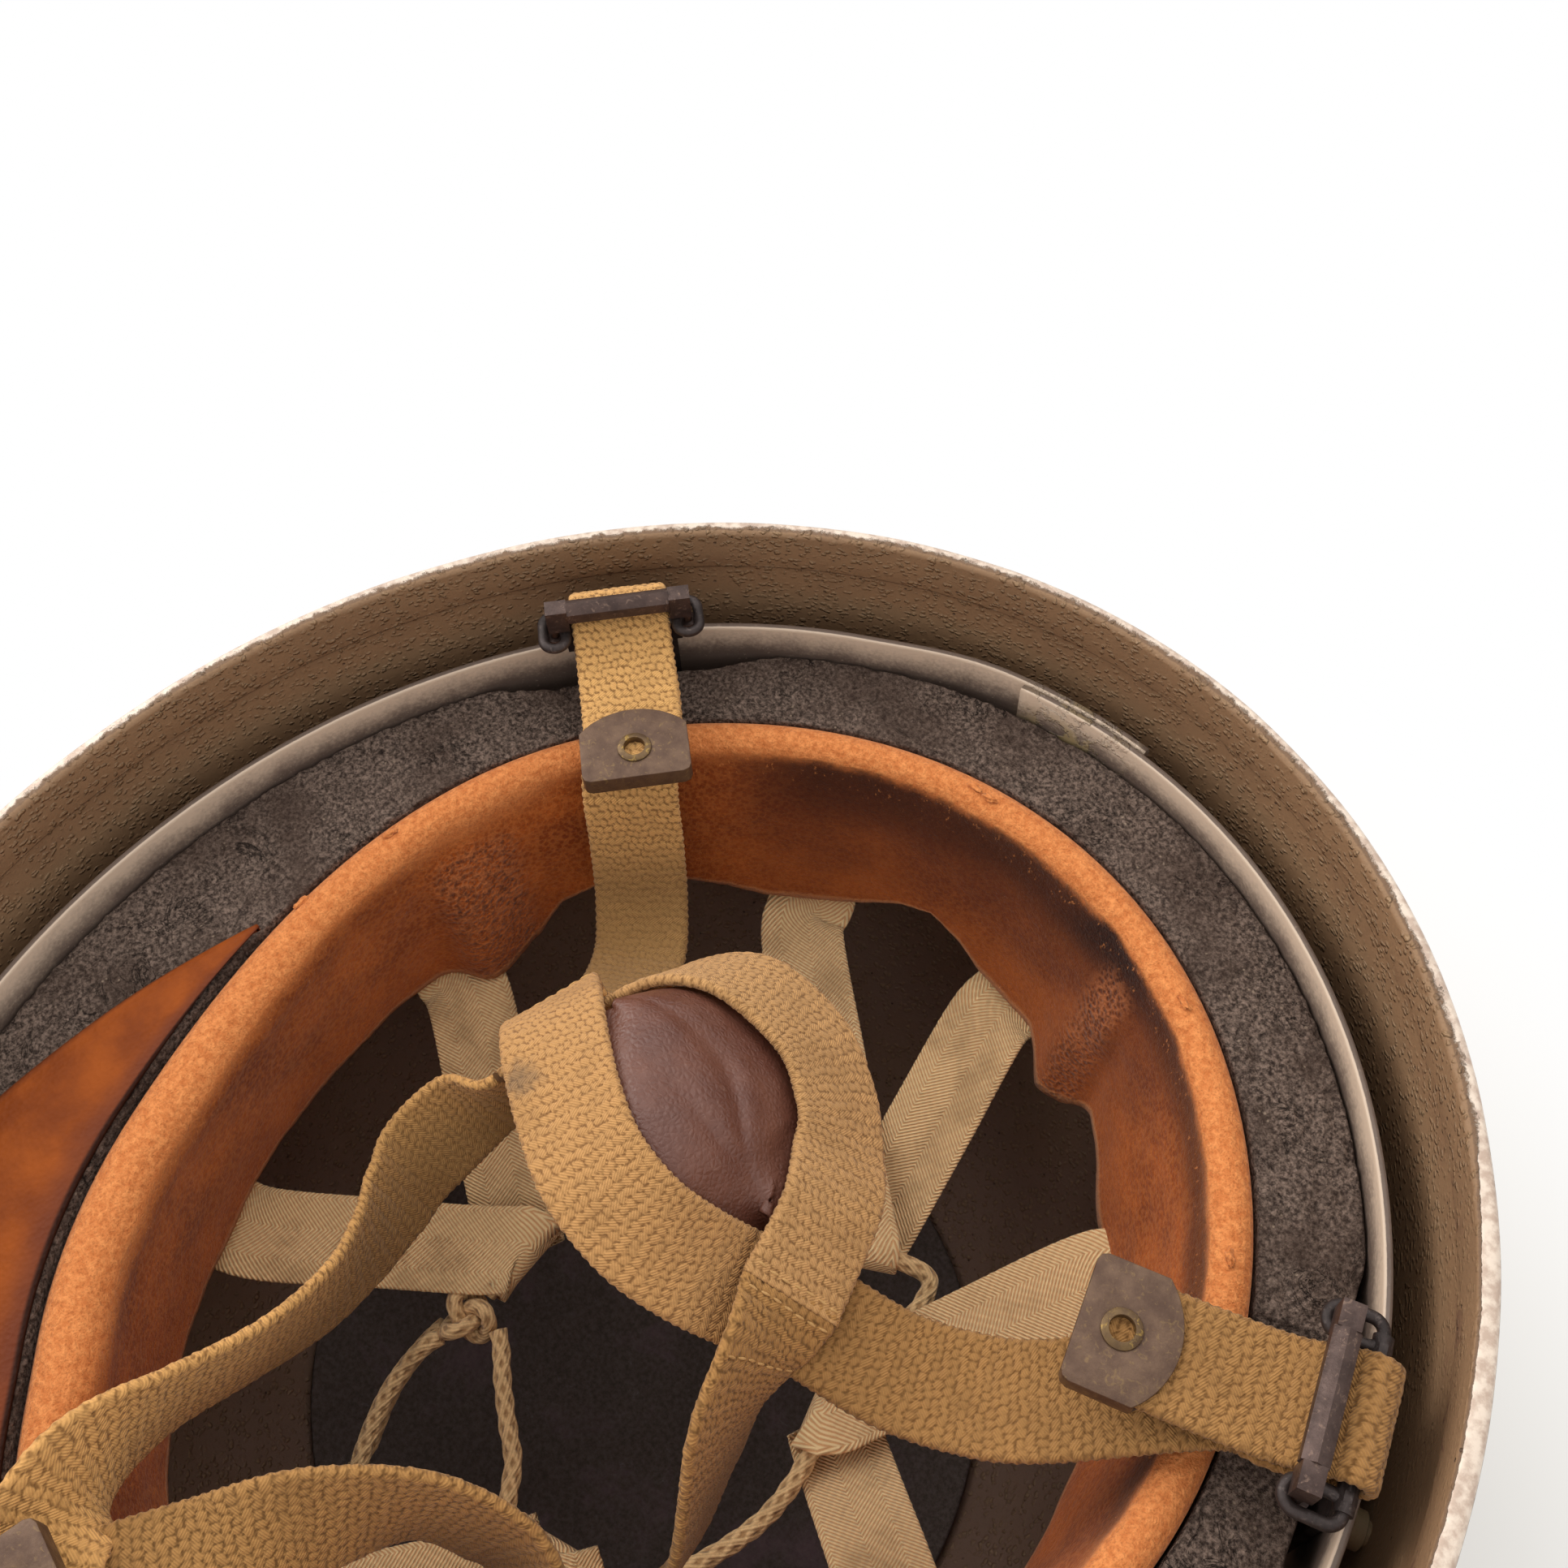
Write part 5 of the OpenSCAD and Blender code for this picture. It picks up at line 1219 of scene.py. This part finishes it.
high_sides = [(-0.1, 0.25, -0.95), (-0.1, 0.2, -0.97), (-0.15, 0.3, -0.93), (-0.3, 0.5, -0.8), (-0.26, 0.76, -0.59),
              (-0.17, 0.81, -0.56), (0.03, 0.8, -0.59), (0.12, 0.78, -0.61), (0.42, 0.68, -0.56), (0.69, 0.46, -0.5)]
web_cloths["cup_web_rear"] = webbing("webbing_cup", (202, 152, 96), (142, 101, 60), 0.62, (-25, 0, 156))
web_cloths["cup_web_front"] = webbing("webbing_over", (204, 156, 102), (142, 103, 62), 0.62)
for name, route, sides in (("cup_web_rear", low_route, low_sides), ("cup_web_front", high_route, high_sides)):
    stations = np.hstack([np.array(route) + (0, 0, height), sides])
    web = ribbon("harness_" + name, stations, web_width, web_thick, 0.42, 52, 0.14, plump)
    web.data.materials.append(web_cloths[name])
    stitch_rows(web, stations, (2.0, 10.5, -2.0))
    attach(web, "chin_harness")
    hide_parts(name)


def model_spline(points, steps=3):
    """The model's own smooth curve, with its steps between places."""
    p = np.array(points, float)
    p = np.vstack([p[:1], p, p[-1:]])
    return np.array([*(between(*p[i:i + 4], k / steps) for i in range(len(p) - 3) for k in range(steps)), p[-1]])


def lining_rows(low, low_side, high, high_side, start, stop):
    """Rows of places from under the lower web, over the cup, to under the upper one."""
    under = web_thick / 2 + 0.3 + 0.75 + 0.1
    rows = []
    for i in range(start, stop + 1):
        def below(line, side, out):
            t = unit(line[min(i + 1, len(line) - 1)] - line[i - 1])
            s = unit(side[i] - t * (side[i] @ t))
            n = np.cross(t, s)
            return line[i] + s * out - n * (-under if n[2] < 0 else under)
        slack = np.array([0, 0, 0.4 - 2.4 * float(ease((i - 7) / 6))])
        a, b = below(low, low_side, web_width / 2 - 4), below(low, low_side, web_width / 2 + 1)
        c, d = below(high, high_side, -web_width / 2 - 1) + slack, below(high, high_side, -web_width / 2 + 4) + slack
        crown = np.array([0, 0, 2.0])
        rows.append([a, b, b * 0.65 + c * 0.35 + crown, b * 0.35 + c * 0.65 + crown, c, d])
    return np.array(rows) + (0, 0, height)


lining_net = lining_rows(*(model_spline(line) for line in (low_route, low_sides, high_route, high_sides)), 7, 25)


def lining_place(u, v):
    n, m = len(lining_net) - 1, len(lining_net[0]) - 1
    i, j = (np.clip((share * last).astype(int), 0, last - 1) for share, last in ((v, n), (u, m)))
    s, t = (v * n - i)[:, None], (u * m - j)[:, None]
    near = (-1, 0, 1, 2)
    spots = between(*(between(*(lining_net[np.clip(i + di, 0, n), np.clip(j + dj, 0, m)] for dj in near), t)
                      for di in near), s)
    dome = np.sin(np.pi * np.clip(u, 0, 1)) * np.sin(np.pi * np.clip(v, 0, 1))
    crease = np.exp(-((u - 0.52 - 0.1 * np.sin(v * 5)) / 0.05) ** 2) * np.exp(-((v - 0.45) / 0.3) ** 2)
    crease2 = np.exp(-((u - 0.38 - 0.12 * (v - 0.5)) / 0.04) ** 2) * np.exp(-((v - 0.62) / 0.16) ** 2)
    spots = spots + np.array([0, 0, 1.0]) * (0.8 * dome - 1.1 * crease - 0.8 * crease2)[:, None]
    spots[:, 2] += 0.35 * crumb(spots, 6, 2) * dome
    return spots


lining = laid("cup_lining", 90, 120, lining_place, (45, 60))
thicken(lining, 1.4, 0)
cup_hide = Paint("cup_leather")
broad = cup_hide.speckle(0.011, 5, 0.6)
pores = cup_hide.cells(0.0011, "DISTANCE_TO_EDGE")
cracks = cup_hide.speckle(0.0035, 6, 0.7, None, 1.8)
slanted = cup_hide.node("ShaderNodeMapping", None, Vector=cup_hide.place(), Rotation=(0.3, 0.2, 0.9),
                        Scale=(0.35, 1.5, 1))
scratch_lines = cup_hide.speckle(0.0012, 5, 0.8, slanted)
color = cup_hide.coats(
    cup_hide.mix(cup_hide.step(broad, 0.3, 0.7), (96, 58, 47), (114, 73, 59)),
    (cup_hide.step(cracks, 0.6, 0.68, 0.0, 0.35), (140, 104, 88)),
    (cup_hide.step(scratch_lines, 0.66, 0.74, 0.0, 0.5), (176, 146, 126)))
relief = cup_hide.bump(pores * 0.8 + cracks * 0.7, 0.0003)
rough = cup_hide.step(broad, 0.3, 0.7, 0.26, 0.4)
lining.data.materials.append(cup_hide.skin(color, rough, relief, Specular_IOR_Level=0.5))
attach(lining, "chin_harness")
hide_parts("chin_cup_leather")
